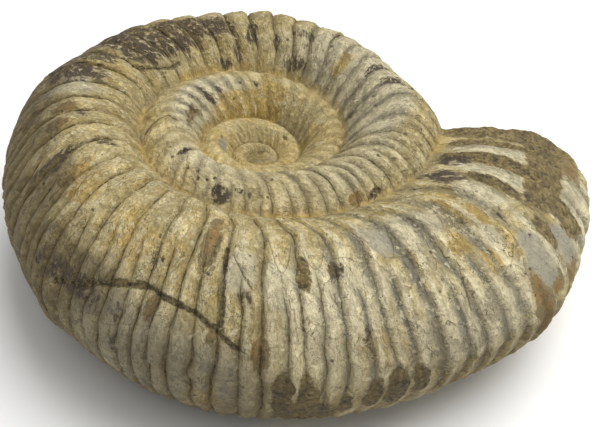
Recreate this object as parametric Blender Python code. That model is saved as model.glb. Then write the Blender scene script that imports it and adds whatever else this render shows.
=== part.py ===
"""Ammonite fossil: one coiled, ribbed shell, filled with stone and lying on its side.

Units are metres and the coil's axis is vertical. The shell grows anticlockwise seen from above.
A place along the coil is its age, the angle in radians counted back from the broken end, and a
place round the whorl's section is an angle that is zero at the venter, the outer edge, a quarter
turn at the top of the whorl and minus a quarter turn at its underside.
"""

import math

import bmesh
import bpy
import numpy as np
from mathutils import Vector

# ---------------------------------------------------------------- driving dimensions
TURN = 2.0 * math.pi
AXIS_X, AXIS_Y = -0.0111, 0.0125  # the coil's axis, measured from the middle of the footprint
MIDDLE_HEIGHT = 0.0266  # the coil's middle plane above the ground
END_DIRECTION = 0.165  # radians anticlockwise from +X, where the broken end faces +Y
KEENNESS = 0.09  # of the whorl's edges, against an ellipse's
EDGE_ROUNDING = 0.35  # share of the section over which those edges are rounded off again

# Each pair is the turns back from the broken end, then the measure there.
OUTER_RADIUS = (
    (0.0, 0.0860), (0.25, 0.0781), (0.5, 0.0638), (0.75, 0.0527), (1.0, 0.0482),
    (1.5, 0.0350), (2.0, 0.0255), (3.0, 0.0116), (4.0, 0.0052), (5.0, 0.0024),
)
MIDDLE_SHIFT = ((0.0, -0.0033), (0.12, -0.0018), (0.25, 0.0), (0.5, 0.0), (5.0, 0.0))

# The next three are shares of the outer radius at the same place.
HALF_DEPTH = ((0.0, 0.337), (0.5, 0.291), (1.0, 0.308), (1.5, 0.308), (5.0, 0.308))
TOP_RISE = (
    (0.0, 0.118), (0.08, 0.195), (0.25, 0.265), (0.5, 0.351), (0.75, 0.394), (1.0, 0.437),
    (1.5, 0.437), (5.0, 0.437),
)
BOTTOM_DROP = (
    (0.0, 0.309), (0.25, 0.348), (0.5, 0.419), (0.625, 0.458), (0.75, 0.486), (1.0, 0.437),
    (1.5, 0.437), (5.0, 0.437),
)

# Ribs counted from the broken end. They stand wider apart on the newest part of the shell.
RIB_COUNT = (
    (0.0, 0.0), (0.56, 3.0), (0.76, 4.0), (1.17, 7.0), (1.98, 13.0), (2.595, 18.0),
    (3.48, 24.0), (4.42, 30.0), (5.40, 36.0), (TURN, 41.0), (1.5 * TURN, 64.0), (2.0 * TURN, 87.0),
)
GROOVE_DEPTH = 0.0145  # share of the outer radius
CREST_HEIGHT = 0.0045  # share of the outer radius
FORKED_DEPTH = 0.70  # how deep the grooves are where the ribs have split, against the flank's
INNER_RELIEF = 0.85  # how strong the second whorl's ribs are, against the first's
FORK_START = math.radians(78.0)  # a rib splits in two between these section angles
FORK_END = math.radians(48.0)
RELIEF_END = math.radians(142.0)  # ribs die out on the wall of the hollow over these angles
RELIEF_FULL = math.radians(112.0)
WALL_LEAN = 0.060  # radians of age that a rib trails on the wall
LEAN_START = math.radians(95.0)
LEAN_SPAN = math.radians(35.0)

APEX_RISE = 0.0014  # the first chamber's knob, above and below the middle plane
END_BULGE = 0.0030  # how far the stone filling stands out of the broken end
END_RING = 0.55  # size of the ring of points on the broken face

# ---------------------------------------------------------------- how finely it is faceted
# Where the lines of points cross a rib, on the first and the second whorl, from its groove at 0.
RIB_COLUMNS = ((0.0, 0.22, 0.5, 0.78), (0.0, 0.24, 0.76))
FORK_PLACE = 0.5  # where in a rib the groove lies that splits it
PLAIN_COLUMNS = (32, 18)  # on the two innermost whorls, which are smooth
FLANK_STEPS = 5
VENTER_STEPS = 5
JOIN_DISTANCE = 0.00002


def smooth_curve(knots):
    """Return a function that passes smoothly through the given pairs."""
    places = np.array([knot[0] for knot in knots])
    values = np.array([knot[1] for knot in knots])
    slopes = np.gradient(values, places)

    def curve(place):
        place = float(min(max(place, places[0]), places[-1]))
        first = min(int(np.searchsorted(places, place, side="right")) - 1, len(places) - 2)
        width = places[first + 1] - places[first]
        s = (place - places[first]) / width
        start = values[first] * (2 * s**3 - 3 * s**2 + 1) + slopes[first] * width * (s**3 - 2 * s**2 + s)
        end = values[first + 1] * (3 * s**2 - 2 * s**3) + slopes[first + 1] * width * (s**3 - s**2)
        return float(start + end)

    return curve


outer_radius_log = smooth_curve([(turns, math.log(radius)) for turns, radius in OUTER_RADIUS])
middle_shift = smooth_curve(MIDDLE_SHIFT)
half_depth = smooth_curve(HALF_DEPTH)
top_rise = smooth_curve(TOP_RISE)
bottom_drop = smooth_curve(BOTTOM_DROP)
rib_count = smooth_curve(RIB_COUNT)


def smooth_step(value):
    """Return 0 below 0, 1 above 1, and a smooth rise between."""
    value = min(max(value, 0.0), 1.0)
    return value * value * (3.0 - 2.0 * value)


def outer_radius(age):
    """Return the distance from the coil's axis to the venter."""
    return math.exp(outer_radius_log(age / TURN))


def whorl(age, lift=0.0):
    """Return the section's centre radius, middle height, and half sizes out, up and down."""
    turns = age / TURN
    radius = outer_radius(age)
    depth = half_depth(turns) * radius
    middle = middle_shift(turns)
    up = top_rise(turns) * radius - middle
    down = bottom_drop(turns) * radius + middle
    return radius - depth, middle, depth + lift, up + lift, down + lift


def keen_factor(reach):
    """Return how much the section differs from an ellipse at a share of its half size."""
    rounding = EDGE_ROUNDING**2
    return ((reach**2 + rounding) / (1.0 + rounding)) ** KEENNESS


def keen_reach(share):
    """Return how far the section reaches where an ellipse would reach the given share."""
    reach = share
    for _ in range(12):
        reach = share * keen_factor(reach)
    return reach


def section_point(age, angle, lift=0.0):
    """Return the radius and height of a point of the whorl's section."""
    centre, middle, depth, up, down = whorl(age, lift)
    across = keen_reach(math.cos(angle))
    along = keen_reach(math.sin(angle))
    return centre + depth * across, middle + (up if angle > 0.0 else down) * along


def ellipse_shares(age, radius, height):
    """Return a point's place out and up in the whorl, scaled so that the surface is a unit circle."""
    centre, middle, depth, up, down = whorl(age)
    across = (radius - centre) / depth
    along = (height - middle) / (up if height > middle else down)
    return across / keen_factor(across), along / keen_factor(along)


def seam_angle(age, side):
    """Return the section angle where a whorl meets the next older one, above or below."""
    low, high = math.pi / 2.0, math.pi
    for _ in range(40):
        angle = (low + high) / 2.0
        if math.hypot(*ellipse_shares(age + TURN, *section_point(age, side * angle))) > 1.0:
            low = angle
        else:
            high = angle
    return side * (low + high) / 2.0


def attach_angle(age, side):
    """Return where the seam of that age lies on the older whorl's section."""
    across, along = ellipse_shares(age + TURN, *section_point(age, seam_angle(age, side)))
    return math.atan2(along, across)


def lean(angle):
    """Return how far a rib trails at a section angle, in radians of age."""
    return WALL_LEAN * smooth_step((abs(angle) - LEAN_START) / LEAN_SPAN)


def place(age, radius, height):
    """Turn an age, radius and height into a point of the object's frame."""
    direction = END_DIRECTION - age
    return Vector((
        AXIS_X + radius * math.cos(direction),
        AXIS_Y + radius * math.sin(direction),
        MIDDLE_HEIGHT + height,
    ))


def relief(age, angle, groove, fork):
    """Return how far the ribs lift the surface: down in a groove and up on a crest."""
    fade = smooth_step((RELIEF_END - abs(angle)) / (RELIEF_END - RELIEF_FULL))
    split = smooth_step((FORK_START - abs(angle)) / (FORK_START - FORK_END))
    depth = (groove + fork * split) * (1.0 - (1.0 - FORKED_DEPTH) * split)
    return outer_radius(age) * fade * (CREST_HEIGHT - (GROOVE_DEPTH + CREST_HEIGHT) * depth)


def shell_point(age, angle, groove, fork, strength=1.0):
    """Return a point of the ribbed surface on the rib line of that age."""
    true_age = age + lean(angle)
    lift = strength * relief(true_age, angle, groove, fork)
    return place(true_age, *section_point(true_age, angle, lift))


def seam_point(age, side):
    """Return the point where the rib line of that age ends in the seam."""
    true_age = age + lean(seam_angle(age, side))
    angle = seam_angle(true_age, side)
    return place(true_age, *section_point(true_age, angle))


def age_of_rib(count):
    """Return the age at which the rib count reaches a value."""
    low, high = 0.0, 2.0 * TURN
    for _ in range(40):
        middle = (low + high) / 2.0
        if rib_count(middle) < count:
            low = middle
        else:
            high = middle
    return (low + high) / 2.0


def spread(first, last, steps):
    """Return evenly spaced values from first to last, with both ends."""
    return [first + (last - first) * step / steps for step in range(steps + 1)]


def column_ages(turn):
    """Return the ages of the lines of points that cross a whorl."""
    if turn < len(RIB_COLUMNS):
        first, last = round(rib_count(turn * TURN)), round(rib_count((turn + 1) * TURN))
        counts = [rib + part for rib in range(first, last) for part in RIB_COLUMNS[turn]]
        return [age_of_rib(count) for count in counts] + [(turn + 1) * TURN]
    return spread(turn * TURN, (turn + 1) * TURN, PLAIN_COLUMNS[turn - len(RIB_COLUMNS)])


def outer_column(age, index, attach_top, attach_bottom):
    """Return the newest whorl's points at one column, from the upper seam to the lower one."""
    rib_place = RIB_COLUMNS[0][index % len(RIB_COLUMNS[0])]
    groove = 1.0 if rib_place == 0.0 else 0.0
    fork = 1.0 if rib_place == FORK_PLACE else 0.0
    top = spread(seam_angle(age, 1), attach_top, FLANK_STEPS)
    middle = spread(attach_top, attach_bottom, VENTER_STEPS)
    bottom = spread(attach_bottom, seam_angle(age, -1), FLANK_STEPS)
    angles = top[1:] + middle[1:] + bottom[1:-1]
    points = [shell_point(age, angle, groove, fork) for angle in angles]
    return [seam_point(age, 1)] + points + [seam_point(age, -1)]


def inner_column(turn, age, index, side):
    """Return one side of an inner whorl's column, from its seam to just short of the outer one."""
    ribbed = turn < len(RIB_COLUMNS)
    groove = 1.0 if ribbed and index % len(RIB_COLUMNS[turn]) == 0 else 0.0
    strength = INNER_RELIEF if ribbed else 0.0
    angles = spread(seam_angle(age, side), attach_angle(age - TURN, side), FLANK_STEPS)
    points = [shell_point(age, angle, groove, 0.0, strength) for angle in angles[1:-1]]
    return [seam_point(age, side)] + points


class Surface:
    """Collects points and faces, and joins points that fall in the same place."""

    def __init__(self):
        self.mesh = bmesh.new()

    def face(self, points):
        """Add one face round the given points."""
        self.mesh.faces.new([self.mesh.verts.new(point) for point in points])

    def grid(self, columns):
        """Add faces between neighbouring columns of equal length."""
        for left, right in zip(columns, columns[1:]):
            for row in range(len(left) - 1):
                self.face([left[row], left[row + 1], right[row + 1], right[row]])

    def zip_lines(self, line, ages, other, other_ages):
        """Join two lines of points of unequal count with triangles, in order of age."""
        i = j = 0
        while i < len(line) - 1 or j < len(other) - 1:
            step_other = i == len(line) - 1
            if not step_other and j < len(other) - 1:
                step_other = other_ages[j + 1] < ages[i + 1]
            if step_other:
                self.face([line[i], other[j], other[j + 1]])
                j += 1
            else:
                self.face([line[i], other[j], line[i + 1]])
                i += 1

    def fan(self, loop, centre):
        """Close a loop of points with triangles to a centre."""
        for first, second in zip(loop, loop[1:] + loop[:1]):
            self.face([first, second, centre])

    def finish(self):
        """Join the points, face every side outwards, and cut the worn flats it lies on."""
        mesh = self.mesh
        bmesh.ops.remove_doubles(mesh, verts=mesh.verts[:], dist=JOIN_DISTANCE)
        bmesh.ops.dissolve_degenerate(mesh, edges=mesh.edges[:], dist=JOIN_DISTANCE)
        bmesh.ops.recalc_face_normals(mesh, faces=mesh.faces[:])
        everything = mesh.verts[:] + mesh.edges[:] + mesh.faces[:]
        bmesh.ops.bisect_plane(
            mesh, geom=everything, dist=0.0, plane_co=(0.0, 0.0, 0.0),
            plane_no=(0.0, 0.0, -1.0), clear_outer=True,
        )
        rims = [edge for edge in mesh.edges if edge.is_boundary]
        bmesh.ops.holes_fill(mesh, edges=rims, sides=0)
        bmesh.ops.recalc_face_normals(mesh, faces=mesh.faces[:])
        return mesh


def build_outer_whorl(surface):
    """Add the newest whorl and return its columns."""
    attach_top = attach_angle(0.0, 1)
    attach_bottom = attach_angle(0.0, -1)
    ages = column_ages(0)
    columns = [outer_column(age, index, attach_top, attach_bottom) for index, age in enumerate(ages)]
    # The newest whorl starts on the flank of the column one turn older, so they share these points.
    columns[-1][FLANK_STEPS] = columns[0][0]
    columns[-1][FLANK_STEPS + VENTER_STEPS] = columns[0][-1]
    surface.grid(columns)
    return ages, columns


def build_inner_whorls(surface, side, outer_ages, seam_line, first_column):
    """Add the older whorls on one side, each joined to the seam of the next newer one."""
    turns = len(RIB_COLUMNS) + len(PLAIN_COLUMNS)
    for turn in range(1, turns):
        ages = column_ages(turn)
        columns = [first_column]
        columns += [inner_column(turn, age, index + 1, side) for index, age in enumerate(ages[1:])]
        surface.grid(columns)
        edge = [column[-1] for column in columns]
        surface.zip_lines(edge, ages, seam_line, [age + TURN for age in outer_ages])
        last_seam_point = seam_line[-1]
        outer_ages, seam_line, first_column = ages, [column[0] for column in columns], columns[-1]
    apex = Vector((AXIS_X, AXIS_Y, MIDDLE_HEIGHT + side * APEX_RISE))
    surface.fan(seam_line + first_column[1:] + [last_seam_point], apex)


def build_broken_end(surface, columns):
    """Fill the broken end with stone, bulging out of it."""
    venter_arc = columns[-1][FLANK_STEPS + 1:FLANK_STEPS + VENTER_STEPS]
    loop = columns[0] + venter_arc[::-1]
    centre = sum(loop, Vector()) / len(loop)
    forward = Vector((-math.sin(END_DIRECTION), math.cos(END_DIRECTION), 0.0))
    ring = [centre + (point - centre) * END_RING + forward * END_BULGE for point in loop]
    for index, point in enumerate(loop):
        after = (index + 1) % len(loop)
        surface.face([point, loop[after], ring[after], ring[index]])
    surface.fan(ring, centre + forward * END_BULGE * 1.3)


def stone_material():
    """Return the pale, limy stone that the whole fossil is made of."""
    material = bpy.data.materials.new("fossil_stone")
    material.use_nodes = True
    shader = material.node_tree.nodes["Principled BSDF"]
    shader.inputs["Base Color"].default_value = (0.50, 0.44, 0.31, 1.0)
    shader.inputs["Roughness"].default_value = 0.82
    shader.inputs["Metallic"].default_value = 0.0
    return material


def build_ammonite():
    """Make the fossil as one closed mesh object in its own collection."""
    surface = Surface()
    ages, columns = build_outer_whorl(surface)
    top_seam = [column[0] for column in columns]
    bottom_seam = [column[-1] for column in columns]
    last = columns[-1]
    build_inner_whorls(surface, 1, ages, top_seam, last[:FLANK_STEPS])
    build_inner_whorls(surface, -1, ages, bottom_seam, last[:-FLANK_STEPS - 1:-1])
    build_broken_end(surface, columns)
    mesh = bpy.data.meshes.new("ammonite")
    finished = surface.finish()
    finished.to_mesh(mesh)
    finished.free()
    mesh.materials.append(stone_material())
    ammonite = bpy.data.objects.new("ammonite", mesh)
    collection = bpy.data.collections.new("ammonite_fossil")
    bpy.context.scene.collection.children.link(collection)
    collection.objects.link(ammonite)
    return ammonite


for old_object in list(bpy.data.objects):
    bpy.data.objects.remove(old_object, do_unlink=True)
build_ammonite()
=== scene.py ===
"""The dressed model of an ammonite fossil that lies on its side.

The fossil is one mesh. Each turn of its coil is a grid rolled on to the spiral. The grids are
joined along the seams between the turns, closed at the broken end and at the first chamber, and
thinned where the surface is plain. Lengths are in metres unless a name says otherwise.

A place on the coil has an age, the angle in radians counted back from the broken end, and an
angle round the whorl's section in degrees: 0 at the venter, which is the outer edge, 90 on top
and -90 underneath.
"""

import logging
import math
from dataclasses import dataclass, field
from enum import Enum
from typing import NamedTuple

import bpy
import numpy as np
from mathutils import Matrix, Vector


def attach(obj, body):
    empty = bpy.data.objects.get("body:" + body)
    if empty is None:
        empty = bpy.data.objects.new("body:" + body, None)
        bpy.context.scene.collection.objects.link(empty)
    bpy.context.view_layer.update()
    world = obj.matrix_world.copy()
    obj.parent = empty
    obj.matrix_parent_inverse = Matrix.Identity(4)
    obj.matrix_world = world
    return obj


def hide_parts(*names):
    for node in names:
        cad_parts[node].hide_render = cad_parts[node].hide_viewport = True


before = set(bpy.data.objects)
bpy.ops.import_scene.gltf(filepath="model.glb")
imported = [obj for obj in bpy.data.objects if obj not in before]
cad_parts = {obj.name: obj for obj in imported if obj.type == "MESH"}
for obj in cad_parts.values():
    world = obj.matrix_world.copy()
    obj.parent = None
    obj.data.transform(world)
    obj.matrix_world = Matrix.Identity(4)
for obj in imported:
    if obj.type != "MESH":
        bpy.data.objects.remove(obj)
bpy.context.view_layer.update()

LOG = logging.getLogger("ammonite")
TURN = 2.0 * math.pi
MM = 0.001
COIL_SHEET = "coil"
Field = np.ndarray
Knots = tuple[tuple[float, float], ...]
Span = tuple[float, float]
Place = tuple[float, float, float]
Colour = tuple[float, float, float, float]
Socket = bpy.types.NodeSocket
Term = tuple[object, float]


def smooth_step(value: Field) -> Field:
    """Return 0 below 0, 1 above 1, and a smooth rise between.

    Args:
        value: Any numbers.

    Returns:
        The eased numbers, in the same shape.
    """
    value = np.clip(value, 0.0, 1.0)
    return value * value * (3.0 - 2.0 * value)


def fading(reach: Field, span: Span, rest: float) -> Field:
    """Return 1 up to the span's start, easing down to the rest at its end."""
    return 1.0 - (1.0 - rest) * smooth_step((reach - span[0]) / (span[1] - span[0]))


class SmoothCurve:
    """A smooth line through pairs of place and value."""

    def __init__(self, knots: Knots) -> None:
        """Keep the pairs and work out the slope at each.

        Args:
            knots: Pairs of place and value, in order of place.
        """
        self.places, self.values = np.array(knots, dtype=float).T
        self.slopes = np.gradient(self.values, self.places)

    def __call__(self, place: Field) -> Field:
        """Return the line's value at each place.

        Args:
            place: Where to read the line. Outside the pairs it keeps the end values.

        Returns:
            The values, in the same shape.
        """
        place = np.clip(place, self.places[0], self.places[-1])
        first = np.searchsorted(self.places, place, side="right") - 1
        first = np.clip(first, 0, len(self.places) - 2)
        width = self.places[first + 1] - self.places[first]
        s = (place - self.places[first]) / width
        start = self.values[first] * (2 * s**3 - 3 * s**2 + 1)
        start += self.slopes[first] * width * (s**3 - 2 * s**2 + s)
        end = self.values[first + 1] * (3 * s**2 - 2 * s**3)
        end += self.slopes[first + 1] * width * (s**3 - s**2)
        return start + end


class StoneNoise:
    """Seeded noise that stays the same in every run."""

    @staticmethod
    def chance(cells: Field, seed: int) -> Field:
        """Return a fixed random number from -1 to 1 for each whole-number cell.

        Args:
            cells: Whole numbers, with the cell's coordinates along the last axis.
            seed: Which of the random patterns to use.

        Returns:
            One number for each cell.
        """
        mixed = np.full(cells.shape[:-1], seed * 2654435761 + 97, dtype=np.uint64)
        for axis, factor in zip(range(cells.shape[-1]), (374761393, 668265263, 2246822519)):
            mixed = (mixed ^ cells[..., axis].astype(np.uint64)) * np.uint64(factor)
            mixed ^= mixed >> np.uint64(15)
        mixed = (mixed * np.uint64(2654435761)) >> np.uint64(16)
        return (mixed & np.uint64(0xFFFF)).astype(float) / 32767.5 - 1.0

    @classmethod
    def smooth(cls, points: Field, cell: float, seed: int) -> Field:
        """Return smooth noise from -1 to 1.

        Args:
            points: Places, with x, y and z along the last axis.
            cell: The size of one cell of the noise, in the points' units.
            seed: Which of the random patterns to use.

        Returns:
            One number for each place.
        """
        scaled = points / cell + 37.7 * seed
        base = np.floor(scaled)
        blend = scaled - base
        blend = blend * blend * (3.0 - 2.0 * blend)
        base = base.astype(np.int64)
        total = np.zeros(points.shape[:-1])
        for corner in range(8):
            step = np.array((corner & 1, corner >> 1 & 1, corner >> 2 & 1))
            weight = np.prod(np.where(step == 1, blend, 1.0 - blend), axis=-1)
            total += weight * cls.chance(base + step, seed)
        return total

    @classmethod
    def layered(cls, points: Field, cell: float, seed: int, layers: int = 3) -> Field:
        """Return noise with finer and weaker noise laid over it.

        Args:
            points: Places, with x, y and z along the last axis.
            cell: The size of the coarsest cells.
            seed: Which of the random patterns to use.
            layers: How many layers, each half as coarse as the one before.

        Returns:
            One number for each place, mostly from -1 to 1.
        """
        total = np.zeros(points.shape[:-1])
        for layer in range(layers):
            total += cls.smooth(points, cell / 2**layer, seed + layer) / 1.8**layer
        return total


@dataclass(frozen=True)
class Unevenness:
    """Noise of one strength, cell size, pattern and number of layers."""

    amount: float
    cell: float
    seed: int
    layers: int = 1

    def at(self, points: Field) -> Field:
        """Return the noise at each place, mostly from -amount to amount."""
        return self.amount * StoneNoise.layered(points, self.cell, self.seed, self.layers)


class Side(Enum):
    """The two sides of the coil, as the sign of a section angle."""

    UPPER = 1
    LOWER = -1


class Tint(Enum):
    """What marks the shell's surface. Each value names a mesh attribute."""

    MATRIX = "matrix"
    RUST = "rust"
    OCHRE = "ochre"
    DARK = "dark"
    PALE = "pale"
    GRIME = "grime"
    FACET = "facet"
    GROOVE = "groove"
    FORK = "fork"
    CREST = "crest"
    LINE = "line"
    LINE_STRENGTH = "line_strength"
    SEAM = "seam"
    VALLEY = "valley"
    FLAKE = "flake"


@dataclass
class CoilShape:
    """The smooth spiral that the shell follows, without its ribs."""

    axis: Span = (-0.0111, 0.0125)
    middle_height: float = 0.0266
    end_direction: float = 0.165
    keenness: float = 0.09
    edge_rounding: float = 0.35
    radius_knots: Knots = (
        (0.0, 0.0860), (0.25, 0.0781), (0.5, 0.0638), (0.75, 0.0527), (1.0, 0.0482),
        (1.5, 0.0350), (2.0, 0.0255), (3.0, 0.0116), (4.0, 0.0052), (5.0, 0.0024),
    )
    shift_knots: Knots = ((0.0, -0.0033), (0.12, -0.0018), (0.25, 0.0), (0.5, 0.0), (5.0, 0.0))
    depth_knots: Knots = ((0.0, 0.337), (0.5, 0.291), (1.0, 0.308), (1.5, 0.308), (5.0, 0.308))
    rise_knots: Knots = (
        (0.0, 0.118), (0.08, 0.195), (0.25, 0.265), (0.5, 0.351), (0.75, 0.394), (1.0, 0.437),
        (1.5, 0.437), (5.0, 0.437),
    )
    drop_knots: Knots = (
        (0.0, 0.309), (0.25, 0.348), (0.5, 0.419), (0.625, 0.458), (0.75, 0.486), (1.0, 0.437),
        (1.5, 0.437), (5.0, 0.437),
    )
    swell_knots: Knots = (
        (0.0, 0.0), (0.55, 0.2), (0.70, 1.0), (0.78, 1.2), (0.86, 0.5), (0.95, -0.4), (1.05, -0.8),
        (1.2, -0.5), (1.35, -0.35), (1.55, -0.15), (1.68, 0.2), (1.85, 0.7), (1.97, 0.4), (2.1, 0.0),
        (2.25, -0.3), (2.38, -0.5), (2.45, -0.1), (2.50, 0.4), (2.56, 0.0), (2.64, -0.5), (2.9, -0.7),
        (3.1, -0.5), (3.3, -0.2), (3.42, 0.6), (3.5, 0.7), (3.58, 0.0), (3.7, -0.8), (3.9, -0.6),
        (4.2, -0.3), (4.6, -0.3), (4.8, 0.0), (4.9, 0.8), (5.0, 0.3), (5.15, -0.2), (5.4, -0.5),
        (5.7, -1.4), (5.95, -1.9), (6.1, -1.0), (6.22, 0.3), (6.3, 0.6), (6.5, 0.0), (6.6, 0.0),
        (6.7, 0.0), (25.0, 0.0),
    )
    swell_span: Span = (55.0, 125.0)
    keen_steps: int = 10
    seam_steps: int = 30

    def __post_init__(self) -> None:
        """Make the smooth curves through the knots."""
        logs = tuple((turns, math.log(radius)) for turns, radius in self.radius_knots)
        self.radius_log = SmoothCurve(logs)
        self.shift = SmoothCurve(self.shift_knots)
        self.depth = SmoothCurve(self.depth_knots)
        self.rise = SmoothCurve(self.rise_knots)
        self.drop = SmoothCurve(self.drop_knots)
        self.swell_curve = SmoothCurve(self.swell_knots)

    def outer_radius(self, age: Field) -> Field:
        """Return the distance from the axis to the venter."""
        return np.exp(self.radius_log(age / TURN))

    def whorl(self, age: Field) -> tuple[Field, ...]:
        """Return the section's centre radius, middle height, and half sizes out, up and down."""
        turns = age / TURN
        radius = self.outer_radius(age)
        depth = self.depth(turns) * radius
        middle = self.shift(turns)
        up = self.rise(turns) * radius - middle
        down = self.drop(turns) * radius + middle
        return radius - depth, middle, depth, up, down

    def keen_factor(self, reach: Field) -> Field:
        """Return how much the section differs from an ellipse at a share of its half size."""
        rounding = self.edge_rounding**2
        return ((reach**2 + rounding) / (1.0 + rounding)) ** self.keenness

    def keen_reach(self, share: Field) -> Field:
        """Return how far the section reaches where an ellipse would reach the given share."""
        reach = share
        for _ in range(self.keen_steps):
            reach = share * self.keen_factor(reach)
        return reach

    def section(self, age: Field, angle: Field) -> tuple[Field, Field]:
        """Return the radius and height of places on the section.

        Args:
            age: The places' ages.
            angle: Their section angles, in degrees.

        Returns:
            The distance from the axis, and the height over the coil's middle plane.
        """
        centre, middle, depth, up, down = self.whorl(age)
        turned = np.radians(angle)
        along = self.keen_reach(np.sin(turned)) * np.where(angle > 0.0, up, down)
        return centre + depth * self.keen_reach(np.cos(turned)), middle + along

    def shares(self, age: Field, radius: Field, height: Field) -> tuple[Field, Field]:
        """Return places out and up in the whorl, scaled so that its surface is a unit circle."""
        centre, middle, depth, up, down = self.whorl(age)
        across = (radius - centre) / depth
        along = (height - middle) / np.where(height > middle, up, down)
        return across / self.keen_factor(across), along / self.keen_factor(along)

    def seam_angle(self, age: Field, side: Side) -> Field:
        """Return the section angle, in degrees, where a whorl meets the next older one.

        Args:
            age: Ages on the newer whorl.
            side: The side of the coil.

        Returns:
            Signed section angles of the newer whorl.
        """
        low = np.full(np.shape(age), 90.0)
        high = np.full(np.shape(age), 180.0)
        for _ in range(self.seam_steps):
            angle = (low + high) / 2.0
            radius, height = self.section(age, side.value * angle)
            outside = np.hypot(*self.shares(age + TURN, radius, height)) > 1.0
            low, high = np.where(outside, angle, low), np.where(outside, high, angle)
        return side.value * (low + high) / 2.0

    def attach_angle(self, age: Field, side: Side) -> Field:
        """Return where the seam of an age lies on the older whorl's section, in degrees."""
        radius, height = self.section(age, self.seam_angle(age, side))
        across, along = self.shares(age + TURN, radius, height)
        return np.degrees(np.arctan2(along, across))

    def swell(self, age: Field, angle: Field) -> Field:
        """Return how far the venter swells out of the plain spiral, or sinks, in metres."""
        first, last = self.swell_span
        return MM * self.swell_curve(age) * smooth_step((last - np.abs(angle)) / (last - first))

    def place(self, age: Field, radius: Field, height: Field) -> Field:
        """Turn ages, radii and heights into points of the object's frame."""
        direction = self.end_direction - age
        x = self.axis[0] + radius * np.cos(direction)
        y = self.axis[1] + radius * np.sin(direction)
        return np.stack(np.broadcast_arrays(x, y, self.middle_height + height), axis=-1)


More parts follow.
